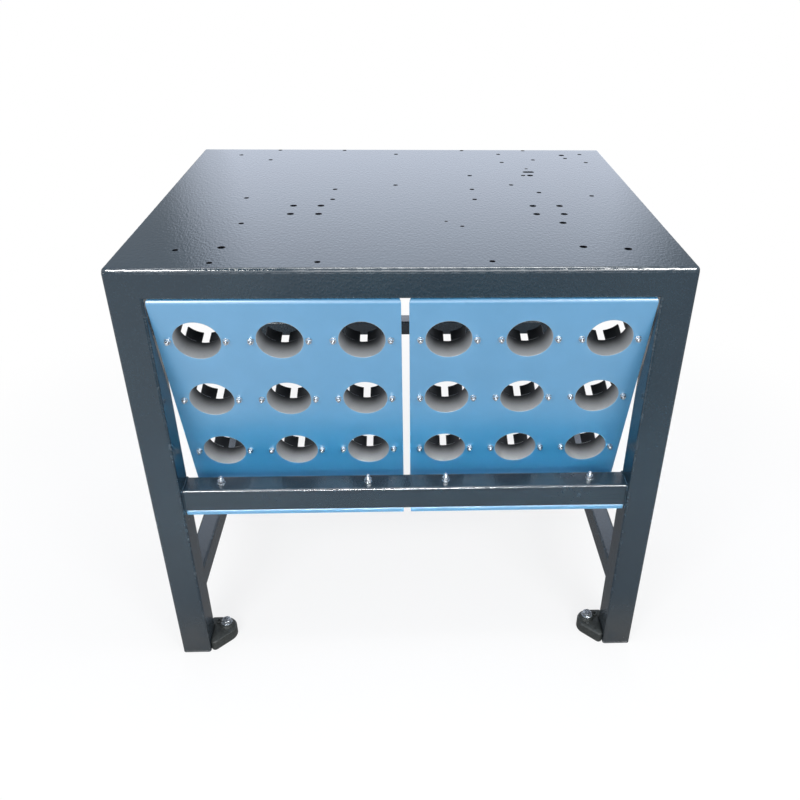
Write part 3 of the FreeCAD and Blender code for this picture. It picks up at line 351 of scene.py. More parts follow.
def make_frame(finish):
    """Legs run from their foot plates to the top, and the mitred top frame wraps them, its
    faces ground flush with theirs."""
    for end, y_sign in ENDS:
        for side, x_sign in SIDES:
            name = "%s_%s" % (end, side)
            make_piece("leg_tube_" + name, [leg_tube(x_sign, y_sign)], finish,
                       ["leg_" + name])
            make_piece("leg_foot_" + name, [closed_foot(x_sign, y_sign)], finish,
                       ["foot_plate_" + name])
    # each side begins at the outline's point half way round a corner
    for place, first in (("front", 24), ("right", 3), ("rear", 10), ("left", 17)):
        make_piece("top_rail_bar_" + place, top_rail(first), finish,
                   ["top_rail_" + place])
    for end, y_sign, top, height in (("front", -1, FRONT_RAIL_TOP, BAR),
                                     ("rear", 1, REAR_RAIL_TOP, THIN_BAR)):
        middle = (y_sign * RAIL_Y, top - height / 2)
        reach = WIDTH / 2 - LEG + LEG_ROUND
        points, quads, wear_and_painted_light = hollow_bar(BAR, height, BAR_WALL, BAR_ROUND, middle,
                                         -reach, reach, "x")
        outline = box_outline(BAR, height, BAR_ROUND)[0] + middle
        beads = [weld_bead(outline, x_sign * (WIDTH / 2 - LEG), -x_sign, "x") for x_sign in (-1, 1)]
        # The middle rails' edges get 1.2 times the wear: a fuller glassy coat, and more rubbed
        # paint and painted highlight.
        more_rubbed_and_highlit = (points, quads, wear_and_painted_light * 1.2)
        make_piece("middle_rail_bar_" + end, [more_rubbed_and_highlit] + beads, finish,
                   ["middle_rail_" + end])
    for side, x_sign in SIDES:
        middle = (x_sign * (WIDTH / 2 - LEG + THIN_BAR / 2), STRETCHER_TOP - BAR / 2)
        reach = DEPTH / 2 - LEG + LEG_ROUND
        bar = hollow_bar(THIN_BAR, BAR, BAR_WALL, BAR_ROUND, middle, -reach, reach, "y")
        # the beads leave out the side that is flush with the legs' inner faces
        flush, back = middle[0] - x_sign * 16, middle[0] + x_sign * THIN_BAR / 2
        run = bent_path([(flush, STRETCHER_TOP), (back, STRETCHER_TOP), (back, STRETCHER_TOP - BAR),
                         (flush, STRETCHER_TOP - BAR)], [BAR_ROUND, BAR_ROUND])
        beads = [weld_bead(run[::x_sign], y_sign * (DEPTH / 2 - LEG), -y_sign, "y", closed=False)
                 for y_sign in (-1, 1)]
        make_piece("low_stretcher_bar_" + side, [bar] + beads, finish,
                   ["side_stretcher_" + side])
    make_piece("corner_welds", corner_welds(), finish, [])


def corner_welds():
    """Beads under and inside the ends of the top rails, on the legs' inner faces."""
    beads = []
    for sign in (-1, 1):
        for axis, near, face in (("x", DEPTH / 2, WIDTH / 2 - LEG),
                                 ("y", WIDTH / 2, DEPTH / 2 - LEG)):
            outer, inner = sign * (near - 5), sign * (near - BAR)
            run = bent_path([(outer, FRAME_TOP - BAR), (inner, FRAME_TOP - BAR),
                             (inner, FRAME_TOP - 2)], [BAR_ROUND])
            run = run if sign > 0 else run[::-1]
            beads += [weld_bead(run, other * face, -other, axis, 2.0, closed=False)
                      for other in (-1, 1)]
    return beads


# --- drilled top ------------------------------------------------------------------------


def hole_outlines():
    """Every hole of the top: its radius, its middle and how far its two halves are run apart
    from there, which is nought for all but the slot."""
    holes = [(r, x, y, 0.0) for r, x, y in SINGLE_HOLES]
    holes += [(r, x + i * a / 2, y + j * b / 2, 0.0) for r, x, y, a, b in HOLE_PATTERNS
              for i, j in ((-1, -1), (1, -1), (1, 1), (-1, 1))]
    radius, x, y, length = CABLE_SLOT
    holes.append((radius, x, y, length / 2 - radius))
    return holes


def hole_rim(radius):
    """How much wider a hole is at the top, where the drill broke in and the paint drew back:
    2 mm less 0.28 of its radius, and 0.3 mm at least."""
    return max(2.0 - 0.28 * radius, 0.3)


def ring_about(radius, x, y, travel, segments=32):
    """Circle of a radius about (x, y), its right and left halves moved apart by the travel."""
    angle = np.radians((np.arange(segments) + 0.5) * 360 / segments)
    shift = np.sign(np.cos(angle)) * travel
    return np.stack([x + shift + radius * np.cos(angle), y + radius * np.sin(angle)], -1)


def flat_with_holes(rim, rings, level):
    """The flat between a rim and its holes at one level, as triangles: the constrained
    triangulation of all outlines, kept where it lies inside the rim and outside each hole."""
    outlines = [rim] + rings
    points = np.concatenate(outlines)
    starts = np.cumsum([0] + [len(o) for o in outlines[:-1]])
    loops = [list(range(start, start + len(o))) for start, o in zip(starts, outlines)]
    edges = [(a, b) for loop in loops for a, b in zip(loop, loop[1:] + loop[:1])]
    made = delaunay_2d_cdt([Vector(p) for p in points.tolist()], edges, loops, 1, 1e-6)
    vertices = np.array([tuple(v) for v in made[0]])
    faces = [face for face, origin in zip(made[2], made[5])
             if 0 in origin and not any(k > 0 for k in origin)]
    faces = np.array([list(face) + [face[0]] for face in faces])
    return placed(vertices, level, "z"), faces, np.zeros(len(vertices))


# a hole's wall: share of its rim, depth and wear; below nought the enamel is painted near black, as
# painted shade in the hole
HOLE_WALL = ((1.0, 0, 0), (0.98, 0.05, -0.6), (0.94, 0.15, -1), (0.9, 0.4, -1), (0.6, 2.0, -1),
             (0, PLATE, -1))


def make_top(finish):
    """The plate: a flat with its holes above and below, an upper edge rounded by a quarter
    circle all round, and each hole's wall, slightly wider at the top. It lies a little
    inside the frame's edge."""
    width, depth = WIDTH - 2 * PLATE_INSET, DEPTH - 2 * PLATE_INSET
    rings, wear_and_painted_light_rows = [], []
    for a in np.radians(np.linspace(0, 90, 9)):
        inset = PLATE_ROUND * (1 - math.sin(a))
        outline, _ = box_outline(width - 2 * inset, depth - 2 * inset, PLATE_CORNER - inset, 8)
        rings.append(placed(outline, HEIGHT - PLATE_ROUND * (1 - math.cos(a)), "z"))
        wear_and_painted_light_rows.append(np.full(len(outline), math.sin(2 * a)))
    rings.append(placed(box_outline(width, depth, PLATE_CORNER, 8)[0], FRAME_TOP, "z"))
    wear_and_painted_light_rows.append(np.zeros(len(rings[0])))
    patches = [grid(np.stack(rings), np.stack(wear_and_painted_light_rows), False, True)]
    holes = hole_outlines()
    for rim, level, share in ((rings[0], HEIGHT, 1), (rings[-1], FRAME_TOP, 0)):
        circles = [ring_about(r + hole_rim(r) * share, x, y, t) for r, x, y, t in holes]
        patches.append(flat_with_holes(rim[:, :2], circles, level))
    for r, x, y, t in holes:
        walls = [placed(ring_about(r + hole_rim(r) * share, x, y, t), HEIGHT - down, "z")
                 for share, down, _ in HOLE_WALL]
        patches.append(grid(np.stack(walls), np.array(HOLE_WALL)[:, 2:], False, True))
    make_piece("drilled_top", patches, finish, ["top_plate"])


def make_edge_seam(finish):
    """The seam between plate and frame, welded, ground and filled: a ring round the table
    whose section is a quarter ellipse, d = 5.5 - 5.3 cos t in from the frame's faces and
    z = 886.5 + 8.4 sin t, closed inside the plate and the tubes. Hand grinding leaves it
    wavy by the sum of two sines of the length along it. Its high wear gives it a glassy
    coat and lightens its enamel as rubbed paint and painted highlight, both less at one
    spot of the front, by a bell curve of x, where the clear coat is thin."""
    turn = np.radians(np.linspace(0, 90, 10))
    path = [(0.35, 884.5)] + [(5.5 - 5.3 * math.cos(a), 886.5 + 8.4 * math.sin(a)) for a in turn]
    path += [(5.9, 894.92), (6.4, 894.0), (6.4, 887.5), (0.9, 884.5)]
    inner_edge, corner, segments = 5.4, 12, 736
    rings = []
    for d, z in path:
        outline = box_outline(WIDTH - 2 * d, DEPTH - 2 * d, max(5.2 - d, 0.3), 8)[0]
        flat, at = resampled(outline, True, count=segments)
        wave = 0.08 * (np.sin(at * 0.171) + np.sin(at * 0.273 + 1))
        edges = np.array([WIDTH, DEPTH]) / 2 - corner
        out = np.sign(flat) * (np.abs(flat) > edges)
        rings.append(placed(flat + out * wave[:, None] * (d < inner_edge), z, "z"))
    wear_and_painted_light = np.array([0] + [1.22 * math.sin(2 * a) ** 0.3 for a in turn] + [0, 0, 0, 0])[:, None]
    # Less wear at one spot of the front: a thinner clear coat and a weaker painted highlight there.
    thin_coat_weaker_highlight = 1 - 0.45 * np.exp(-((flat[:, 0] + 280) / 75) ** 2) * (flat[:, 1] < 0)
    make_piece("top_edge_seam", [grid(np.stack(rings), wear_and_painted_light * thin_coat_weaker_highlight, True, True)], finish,
               [])


# --- racks ------------------------------------------------------------------------------


def on_rack(x, down, depth):
    """Point of a rack from its place across, down the slope and in from its face:
    y = y0 + down sin t + depth cos t, z = z0 - down cos t + depth sin t."""
    sine, cosine = math.sin(RACK_TILT), math.cos(RACK_TILT)
    x, down, depth = np.broadcast_arrays(x, down, depth)
    return np.stack([x, RACK_TOP[0] + down * sine + depth * cosine,
                     RACK_TOP[1] - down * cosine + depth * sine], -1)


CELL_STEPS = 20          # points along one side of a cell
EDGE_BREAK = 0.5         # rounding of a cut sheet edge
RACK_BEND = 10           # outside radius of the upper bend
HOLE_RADIUS = 42


def rack_paths():
    """The sheet's face and back in (y, z), above and below the punched field. Both end on
    the straight slope, square to each other."""
    down = np.array([math.sin(RACK_TILT), -math.cos(RACK_TILT)])
    foot = RACK_TOP + down * RACK_DROP / math.cos(RACK_TILT)
    first, last = ROWS[0] - PITCH / 2, ROWS[-1] + PITCH / 2
    inward = np.array([math.cos(RACK_TILT), math.sin(RACK_TILT)])
    corner_reach = RACK_SHEET / math.tan((math.pi / 2 - RACK_TILT) / 2)
    top, low = RACK_TOP[1], RACK_TOP[1] - RACK_DROP
    end, nose, tip = RACK_TOP[0] + RACK_FLANGE, RACK_NOSE, low - RACK_LIP
    upper_face = bent_path([(end, top), RACK_TOP, RACK_TOP + down * first], [RACK_BEND], 10)
    corner = RACK_TOP + down * corner_reach + inward * RACK_SHEET
    upper_back = bent_path([(end, top - RACK_SHEET), corner,
                            RACK_TOP + down * first + inward * RACK_SHEET],
                           [RACK_BEND - RACK_SHEET], 10)
    lower_face = bent_path([RACK_TOP + down * last, foot, (nose, low), (nose, tip)], [2, 4])
    corner = foot + down * corner_reach + inward * RACK_SHEET
    behind = nose + RACK_SHEET
    lower_back = bent_path([RACK_TOP + down * last + inward * RACK_SHEET, corner,
                            (behind, low - RACK_SHEET), (behind, tip)], [4, 2])
    return upper_face, upper_back, lower_face, lower_back


def punched_cell(x0, x1, d0, d1, x, down):
    """One cell of the punched field: from the cell's square border on the face to the hole,
    over its edge, through the sheet and back out to the border on the back. Border point k
    and hole point k share the angle -135 + 90 k / n degrees."""
    side = np.arange(CELL_STEPS) / CELL_STEPS
    border = np.concatenate([
        np.stack([x0 + (x1 - x0) * side, np.full(CELL_STEPS, d0)], -1),
        np.stack([np.full(CELL_STEPS, x1), d0 + (d1 - d0) * side], -1),
        np.stack([x1 + (x0 - x1) * side, np.full(CELL_STEPS, d1)], -1),
        np.stack([np.full(CELL_STEPS, x0), d1 + (d0 - d1) * side], -1)])
    angle = np.radians(-135 + 90 * np.arange(4 * CELL_STEPS) / CELL_STEPS)
    circle = np.stack([np.cos(angle), np.sin(angle)], -1)
    middle = np.array([x, down])
    face = [border + (middle + (HOLE_RADIUS + EDGE_BREAK) * circle - border) * t
            for t in (0, 0.4, 0.75, 1)]
    lip = [(middle + (HOLE_RADIUS + EDGE_BREAK * (1 - math.sin(a))) * circle,
            EDGE_BREAK * (1 - math.cos(a))) for a in np.radians([30, 60, 90])]
    rings = [(points, 0.0) for points in face] + lip
    rings += [(points, RACK_SHEET - depth) for points, depth in rings[::-1]]
    flat = np.stack([points for points, depth in rings])
    depth = np.array([depth for points, depth in rings])[:, None]
    wear_and_painted_light = [0, 0, 0, 0.2, 1, 1, 0.4]
    wear_and_painted_light = np.array(wear_and_painted_light + wear_and_painted_light[::-1])[:, None]
    return grid(on_rack(flat[..., 0], flat[..., 1], depth), wear_and_painted_light, False, True)


def with_round_shoulders(patch, middle, radius=7.0):
    """Draws the sheet's sides in over the upper bend, by r (1 - sqrt(1 - t^2)) with t from 0
    to 1 over the bend's height, so that its two upper corners are round."""
    points, quads, wear_and_painted_light = patch
    rise = np.clip((points[:, 2] - (RACK_TOP[1] - RACK_BEND)) / RACK_BEND, 0, 1)
    inward = radius * (1 - np.sqrt(1 - rise ** 2))
    points = points.copy()
    points[:, 0] = middle + (points[:, 0] - middle) * (1 - inward / (RACK_WIDTH / 2))
    return points, quads, wear_and_painted_light


def make_rack(side, x_sign, finish):
    """A rack: nine punched cells, the bent sheet above and below them, and the two cut side
    edges, rounded over their whole length."""
    middle = x_sign * RACK_CENTRE
    low, high = middle - RACK_WIDTH / 2 + EDGE_BREAK, middle + RACK_WIDTH / 2 - EDGE_BREAK
    columns = [middle + c for c in COLUMNS]
    lines_x = [low, middle - PITCH / 2, middle + PITCH / 2, high]
    lines_d = [ROWS[0] - PITCH / 2 + PITCH * k for k in range(4)]
    patches = [punched_cell(x0, x1, d0, d1, x, down)
               for x0, x1, x in zip(lines_x, lines_x[1:], columns)
               for d0, d1, down in zip(lines_d, lines_d[1:], ROWS)]
    stations = np.concatenate([np.linspace(a, b, CELL_STEPS, endpoint=False)
                               for a, b in zip(lines_x, lines_x[1:])] + [[high]])
    upper_face, upper_back, lower_face, lower_back = rack_paths()

    def across(path):
        """A path in (y, z) carried from one side of the rack to the other."""
        yz = np.broadcast_to(path, (len(stations),) + path.shape)
        x = np.broadcast_to(stations[:, None, None], yz.shape[:2] + (1,))
        return np.concatenate([x, yz], -1)

    for face, back, tip in ((upper_face, upper_back, 0), (lower_face, lower_back, -1)):
        patches += [grid(across(face)), grid(across(back))]
        cut = face[tip] + (back[tip] - face[tip]) * np.linspace(0, 1, 4)[:, None]
        patches.append(grid(across(cut), 0.8))
    field = lines_d[0] + PITCH * np.arange(1, 3 * CELL_STEPS) / CELL_STEPS
    face = np.concatenate([upper_face, on_rack(0, field, 0)[:, 1:], lower_face])
    back = np.concatenate([upper_back, on_rack(0, field, RACK_SHEET)[:, 1:], lower_back])
    for edge, out in ((low, -1), (high, 1)):
        steps = [(EDGE_BREAK * math.sin(a), EDGE_BREAK * (1 - math.cos(a)) / RACK_SHEET)
                 for a in np.radians([0, 30, 60, 90])]
        steps += [(reach, 1 - depth) for reach, depth in steps[::-1]]
        rows = [np.concatenate([np.full((len(face), 1), edge + out * reach),
                                face + (back - face) * depth], -1) for reach, depth in steps]
        wear_and_painted_light = np.array([0, 0.8, 1, 0.8, 0.8, 1, 0.8, 0])[:, None]
        patches.append(grid(np.stack(rows), wear_and_painted_light))
    patches = [with_round_shoulders(patch, middle) for patch in patches]
    make_piece("rack_sheet_" + side, patches, finish,
               ["rack_panel_" + side, "rack_top_flange_" + side, "rack_bottom_flange_" + side])


# --- storage tubes ----------------------------------------------------------------------

TUBE_BORE, TUBE_OUTSIDE, TUBE_LENGTH = 41.5, 44.5, 70    # radii and length
FLANGE, FLANGE_RIM, EAR_REACH, EAR_HALF = 2.5, 49, 59, 8
SLOT_FOOT, SLIT_TOP = 42, 44.5
SLOT_HALF, SLIT_REACH = math.asin(7 / 43), math.asin(26 / 43)


def slotted_wall():
    """The tube's wall on a grid of angle and depth. A cell is open in a slot, which spans
    +-7 mm about each sixth of a turn from the foot of the slots to the end, or in the slit
    at its foot, which runs on to 26 mm on one side. Open cells are left out, and each border
    between open and closed gets a wall from bore to outside. The wear holds the share of
    the tube's length, by which the plastic is painted darker as painted shade down the bore,
    0.3 of it on the outside. Also returns the angles."""
    marks = []
    for k in range(6):
        middle = math.radians(60 * k - 90)
        for start, stop, steps in ((-SLIT_REACH, -SLOT_HALF, 6), (-SLOT_HALF, SLOT_HALF, 5),
                                   (SLOT_HALF, math.radians(60) - SLIT_REACH, 4)):
            marks += list(middle + np.linspace(start, stop, steps, endpoint=False))
    angle = np.array(marks)
    depth = np.array([4.0, 20, 36, SLOT_FOOT, SLIT_TOP, 52, 61, TUBE_LENGTH])
    cell_angle = (angle + np.append(angle[1:], angle[0] + 2 * math.pi)) / 2
    cell_depth = (depth[:-1] + depth[1:]) / 2
    phase = (cell_angle + math.radians(90) + math.pi / 6) % (math.pi / 3) - math.pi / 6
    phase_low = (cell_angle + math.radians(90) + SLIT_REACH) % (math.pi / 3) - SLIT_REACH
    in_slot = np.abs(phase) < SLOT_HALF
    in_slit = (phase_low < SLOT_HALF) & (phase_low > -SLIT_REACH)
    open_cell = (in_slot[:, None] & (cell_depth > SLOT_FOOT)) | \
        (in_slit[:, None] & (cell_depth > SLOT_FOOT) & (cell_depth < SLIT_TOP))
    count, rows = len(angle), len(depth)
    bore_depth = depth.copy()
    bore_depth[0] = FLANGE
    ring = np.stack([np.cos(angle), np.sin(angle)], -1)
    layers = []
    for radius, level in ((TUBE_BORE, bore_depth), (TUBE_OUTSIDE, depth)):
        flat = np.broadcast_to(radius * ring[:, None], (count, rows, 2))
        layers.append(np.concatenate([flat, np.broadcast_to(level[:, None], (count, rows, 1))], -1))
    points = np.concatenate([layer.reshape(-1, 3) for layer in layers])
    index = np.arange(count * rows).reshape(count, rows)
    right = np.roll(index, -1, 0)
    shell = np.stack([index[:, :-1], right[:, :-1], right[:, 1:], index[:, 1:]], -1)[~open_cell]
    other = count * rows
    quads = [shell, shell[:, ::-1] + other]
    beside = open_cell != np.roll(open_cell, 1, 0)
    below = open_cell[:, :-1] != open_cell[:, 1:]
    last = ~open_cell[:, -1]
    for a, b in ((index[:, :-1][beside], index[:, 1:][beside]),
                 (index[:, 1:-1][below], right[:, 1:-1][below]),
                 (index[:, -1][last], right[:, -1][last])):
        quads.append(np.stack([a, b, b + other, a + other], -1))
    share = np.tile(depth / TUBE_LENGTH, count)
    return (points, np.concatenate(quads), np.concatenate([share, share * 0.3])), angle


def tube_flange(angle):
    """Mouth collar, flange with two ears, and the fillet to the wall: a path of (radius,
    depth) carried round the axis. The flange's radius is the larger of the disc and the
    ears' rounded rectangle in each direction."""
    across, up = np.abs(np.cos(angle)), np.abs(np.sin(angle))
    straight = np.minimum(EAR_REACH / np.maximum(across, 1e-6), EAR_HALF / np.maximum(up, 1e-6))
    r = 6
    cx, cy = EAR_REACH - r, EAR_HALF - r
    along = cx * across + cy * up
    reach = along + np.sqrt(np.maximum(r * r - (cx * cx + cy * cy - along ** 2), 0))
    corner = (straight * across > cx) & (straight * up > cy)
    rim = np.maximum(FLANGE_RIM, np.where(corner, np.minimum(reach, straight), straight))
    mouth, collar, wall = TUBE_BORE, TUBE_BORE + 0.4, TUBE_OUTSIDE
    return carried_round([(mouth, FLANGE), (mouth, 0), (mouth, -1.5), (mouth + 0.12, -1.85),
                          (collar, -1.9), (collar, 0), (rim - 0.3, 0), (rim, 0.4),
                          (rim, FLANGE - 0.4), (rim - 0.3, FLANGE), (wall + 1.5, FLANGE),
                          (wall + 0.5, FLANGE + 0.5), (wall, FLANGE + 1.5)], angle)


def make_tubes(finish):
    """Eighteen tubes, each square to its rack: local x across, y down the slope, z inwards."""
    wall, angle = slotted_wall()
    flange = grid(tube_flange(np.sort(angle % (2 * math.pi))), 0.0, False, True)
    sine, cosine = math.sin(RACK_TILT), math.cos(RACK_TILT)
    turn = np.array([[1, 0, 0], [0, sine, cosine], [0, -cosine, sine]])
    for side, x_sign in SIDES:
        for row, down in enumerate(ROWS, start=1):
            for column, offset in enumerate(COLUMNS, start=1):
                seat = on_rack(x_sign * RACK_CENTRE + offset, down, RACK_SHEET)
                name = "%s_r%d_c%d" % (side, row, column)
                make_piece("storage_tube_" + name,
                           [moved(wall, turn, seat), moved(flange, turn, seat)], finish,
                           ["tube_" + name], rounded=0.35)


# --- fasteners --------------------------------------------------------------------------


def hexagon_angles():
    """Directions round a hexagon with extra ones beside each corner, so corners stay crisp."""
    corner = np.radians(30 + 60 * np.arange(6))[:, None]
    return np.sort((corner + np.radians([-15, -1.2, 0, 1.2, 15, 30])).reshape(-1) % (2 * math.pi))


def hexagon_block(flats, height, bore=0.0, base=0.0):
    """A hexagon nut or head standing on a base level. Its side is at flats / 2 / cos(a) from
    the axis, a counting from the middle of a flat, cut by a 30 degree cone at both ends. With
    no bore the faces close to a point."""
    angle = hexagon_angles()
    from_flat = (angle + math.pi / 6) % (math.pi / 3) - math.pi / 6
    side = flats / 2 / np.cos(from_flat)
    side = np.minimum(side, flats / 2 / math.cos(math.radians(30)) - flats * 0.004)
    flat_end = flats / 2 * 0.95
    chamfer = (side.max() - flat_end) * math.tan(math.radians(30))
    rings = [(bore, base)]
    rings += [(np.minimum(side, flat_end + (side.max() - flat_end) * t), base + chamfer * t)
              for t in (0, 0.25, 0.5, 0.75, 1)]
    rings += [(radius, 2 * base + height - level) for radius, level in rings[::-1]]
    wear_and_painted_light = np.zeros((len(rings), len(angle)))
    wear_and_painted_light[:, np.abs(np.abs(from_flat) - math.pi / 6) < 0.03] = 0.8
    wear_and_painted_light[[1, 2, -2, -3]] = 0.6
    return grid(carried_round(rings, angle), wear_and_painted_light, bore > 0, True)


def washer_ring(radius, bore, height, segments=28):
    """A washer: bore, lower face, rounded rim, upper face and back."""
    angle = np.radians(np.arange(segments) * 360 / segments)
    soft = min(0.3, height / 3)
    rings = [(bore, 0), (radius - soft, 0), (radius, soft), (radius, height - soft),
             (radius - soft, height), (bore, height)]
    wear_and_painted_light = np.array([0, 0.3, 0.8, 0.8, 0.3, 0])[:, None]
    return grid(carried_round(rings, angle), wear_and_painted_light, True, True)


def threaded_end(radius, pitch, start, end, segments=14):
    """A threaded rod: r = R - h |2 frac((z - pitch a / 2 pi) / pitch) - 1|, which winds once
    per pitch, run out to a chamfer at the tip and closed at both ends."""
    count = max(int((end - start) / pitch * 5), 8)
    z = np.linspace(start, end, count)[:, None]
    angle = np.radians(np.arange(segments) * 360 / segments)
    phase = ((z - pitch * angle / (2 * math.pi)) / pitch) % 1
    size = radius - 0.5 * pitch * (1 - np.abs(2 * phase - 1))
    size = np.minimum(size, radius * 0.72 + np.maximum(end - z, 0) * 1.2)
    size = np.concatenate([np.zeros((1, segments)), size, np.zeros((1, segments))])
    z = np.concatenate([z[:1], z, z[-1:]])
    points = np.stack([size * np.cos(angle), size * np.sin(angle),
                       np.broadcast_to(z, size.shape)], -1)
    return grid(points, 0.1, False, True)


def upright(turn_degrees=0.0):
    """Matrix that turns about the upright axis."""
    cosine, sine = math.cos(math.radians(turn_degrees)), math.sin(math.radians(turn_degrees))
    return np.array([[cosine, -sine, 0], [sine, cosine, 0], [0, 0, 1.0]])


def make_tube_fasteners(finish):
    """Head behind each ear, washer and nut on the rack's face, screw end in front."""
    sine, cosine = math.sin(RACK_TILT), math.cos(RACK_TILT)
    outward = np.array([[1, 0, 0], [0, -sine, -cosine], [0, cosine, -sine]])
    head = hexagon_block(flats=8, height=3.5, base=-8.0)
    stem = threaded_end(radius=2.8, pitch=0.9, start=-4.6, end=10.0)
    washer = washer_ring(radius=6, bore=2.8, height=1)
    nut = hexagon_block(flats=9.6, height=4.6, bore=2.7, base=1.0)
    for side, x_sign in SIDES:
        spots = [(x_sign * RACK_CENTRE + offset + ear * 51, down) for down in ROWS
                 for offset in COLUMNS for ear in (-1, 1)]
        groups = {"tube_screws": [], "screw_washers": [], "screw_nuts": []}
        for number, (x, down) in enumerate(spots):
            seat = on_rack(x, down, 0.0)
            turn = outward @ upright(number * 47 % 60)
            groups["tube_screws"] += [moved(head, turn, seat), moved(stem, turn, seat)]
            groups["screw_washers"].append(moved(washer, outward, seat))
            groups["screw_nuts"].append(moved(nut, turn, seat))
        for kind, patches in groups.items():
            make_piece("%s_zinc_%s" % (kind, side), patches, finish,
                       ["%s_%s" % (kind, side)])


def make_frame_bolts(finish):
    """Bolts through the front rail and the racks' lower flanges, and those of the upper
    flanges, each turned a little differently as a spanner leaves them."""
    head_height, washer_height = 5.3, 1.6
    head = hexagon_block(flats=13, height=head_height)
    nut = hexagon_block(flats=13, height=6.5, bore=3.9)
    washer = washer_ring(radius=8, bore=4.1, height=washer_height)
    lower_flange = RACK_TOP[1] - RACK_DROP - RACK_SHEET
    upper_flange = RACK_TOP[1] - RACK_SHEET
    long_stem = threaded_end(radius=3.95, pitch=1.25, start=lower_flange - 1, end=452)
    short_stem = threaded_end(radius=3.95, pitch=1.25, start=upper_flange - 1, end=851)
    heads, nuts, washers, upper = [], [], [], []
    for number, x in enumerate(BOLTS_X):
        turn = upright(17 * number + 8)
        seat = np.array([x, -RAIL_Y, 0.0])
        heads.append(moved(head, turn, seat + (0, 0, lower_flange - head_height)))
        heads.append(moved(long_stem, turn, seat))
        washers.append(moved(washer, upright(), seat + (0, 0, FRONT_RAIL_TOP)))
        nuts.append(moved(nut, turn @ turn, seat + (0, 0, FRONT_RAIL_TOP + washer_height)))
        seat = np.array([x, (BAR - DEPTH) / 2, 0.0])
        upper.append(moved(head, turn, seat + (0, 0, upper_flange - head_height)))
        upper.append(moved(short_stem, turn, seat))
    make_piece("rail_bolts_zinc", heads, finish, ["rail_bolts"])
    make_piece("rail_nuts_zinc", nuts, finish, ["rail_bolt_nuts"])
    make_piece("rail_washers_zinc", washers, finish, ["rail_bolt_washers"])
    make_piece("flange_bolts_zinc", upper, finish, ["upper_flange_bolts"])


# --- feet -------------------------------------------------------------------------------


# a foot lug in (x, y) from the leg's inner face and the table's front or back
LUG_END, LUG_END_AT = 29.0, (21.0, 55.0)    # round end
LUG_TOE, LUG_TOE_AT = 8.0, (8.0, 13.0)
LUG_CORNER, LUG_HOOK = 4.2, -9.0            # the hook's reach behind the leg
LUG_HEIGHT, LUG_SOFT = 25.0, 4.0            # and the rounding of its upper edge
LUG_MIDDLE = (6.0, 66.0)                    # from where its whole outline is in view
BOSS_AT, BOSS_TOP = (28.0, 60.0), 30.0
SOCKET_AT = (7.5, 68.0)


def lug_outline(inset):
    """Outline of a foot lug, drawn in by an inset: a toe circle and a round end wrapped by a
    tangent, then straight across behind the leg, hooked round its corner and back along
    its face."""
    (end_x, end_y), (toe_x, toe_y) = LUG_END_AT, LUG_TOE_AT
    back, corner_x = LEG + 0.4, LUG_HOOK + LUG_CORNER
    lean = math.atan2(end_x - toe_x, end_y - toe_y)
    grow = math.asin((LUG_END - LUG_TOE) / math.hypot(end_x - toe_x, end_y - toe_y))
    touch = -(lean + grow)
    arcs = [(toe_x, toe_y, LUG_TOE, math.pi, 2 * math.pi + touch, 13),
            (end_x, end_y, LUG_END, touch, math.pi / 2, 40),
            (corner_x, end_y + LUG_END - LUG_CORNER, LUG_CORNER, math.pi / 2, math.pi, 8),
            (corner_x, back + LUG_CORNER, LUG_CORNER, math.pi, 1.5 * math.pi, 8)]
    outline = []
    for x, y, r, start, stop, count in arcs:
        a = np.linspace(start, stop, count)
        outline.append(np.stack([x + (r - inset) * np.cos(a), y + (r - inset) * np.sin(a)], -1))
    return np.concatenate(outline + [[[inset, back + inset]]])


def lug_body():
    """The lug's body: its outline carried up and over a rounded upper edge, closed below and
    above at a point."""
    side = LUG_HEIGHT - LUG_SOFT
    levels = [(0.0, 1.2), (0.4, 0.4), (1.2, 0.0), (side, 0.0)]
    levels += [(side + LUG_SOFT * math.sin(a), LUG_SOFT * (1 - math.cos(a)))
               for a in np.radians([15, 30, 45, 60, 75, 90])]
    rings = [placed(lug_outline(inset), z, "z") for z, inset in levels]
    core, crown = np.array(LUG_MIDDLE), LUG_HEIGHT + 0.2
    rings.append(placed(core + (lug_outline(LUG_SOFT) - core) * 0.6, crown, "z"))
    rings.append(np.broadcast_to([*core, crown], rings[0].shape))
    rings.insert(0, np.broadcast_to([*core, 0.0], rings[0].shape))
    wear_and_painted_light = np.array([0, 0.2, 0.5, 0.2, 0] + [0.6] * 6 + [0.1, 0])[:, None]
    return grid(np.stack(rings), wear_and_painted_light, False, True)


def lug_boss():
    """The round boss on the lug: (radius, height) carried round its axis, with a hollow foot
    where it meets the body and a domed shoulder under the washer."""
    path = [(0, 24.0), (18.0, 24.6), (16.4, 25.2), (15.6, 26.4)]
    path += [(15.5 - 3.0 * (1 - math.cos(a)), 26.4 + 3.6 * math.sin(a))
             for a in np.radians([15, 30, 45, 60, 75, 90])]
    path.append((0, BOSS_TOP))
    wear_and_painted_light = np.array([0, 0, 0.1, 0.3] + [0.6] * 6 + [0.1])[:, None]
    return grid(carried_round(path, np.radians(np.arange(48) * 7.5)), wear_and_painted_light, False, True)


def socket_screw():
    """A small screw with a hexagon socket: rounded head of 13 mm, the socket's wall going down
    inside it. The radius in the socket is that of a hexagon, 3 / cos(a) from its flats."""
    angle = np.radians(np.arange(72) * 5.0)
    socket = 3.0 / np.cos((angle + math.pi / 6) % (math.pi / 3) - math.pi / 6)
    path = [(0, 24.0), (6.2, 24.0), (6.5, 25.0), (6.5, 27.4), (6.2, 28.1), (5.5, 28.4),
            (socket + 0.4, 28.4), (socket, 28.0), (socket, 25.2), (0, 25.0)]
    wear_and_painted_light = np.array([0, 0, 0.2, 0.5, 0.8, 0.4, 0.4, 0.3, 0, 0])[:, None]
    return grid(carried_round(path, angle), wear_and_painted_light, False, True)


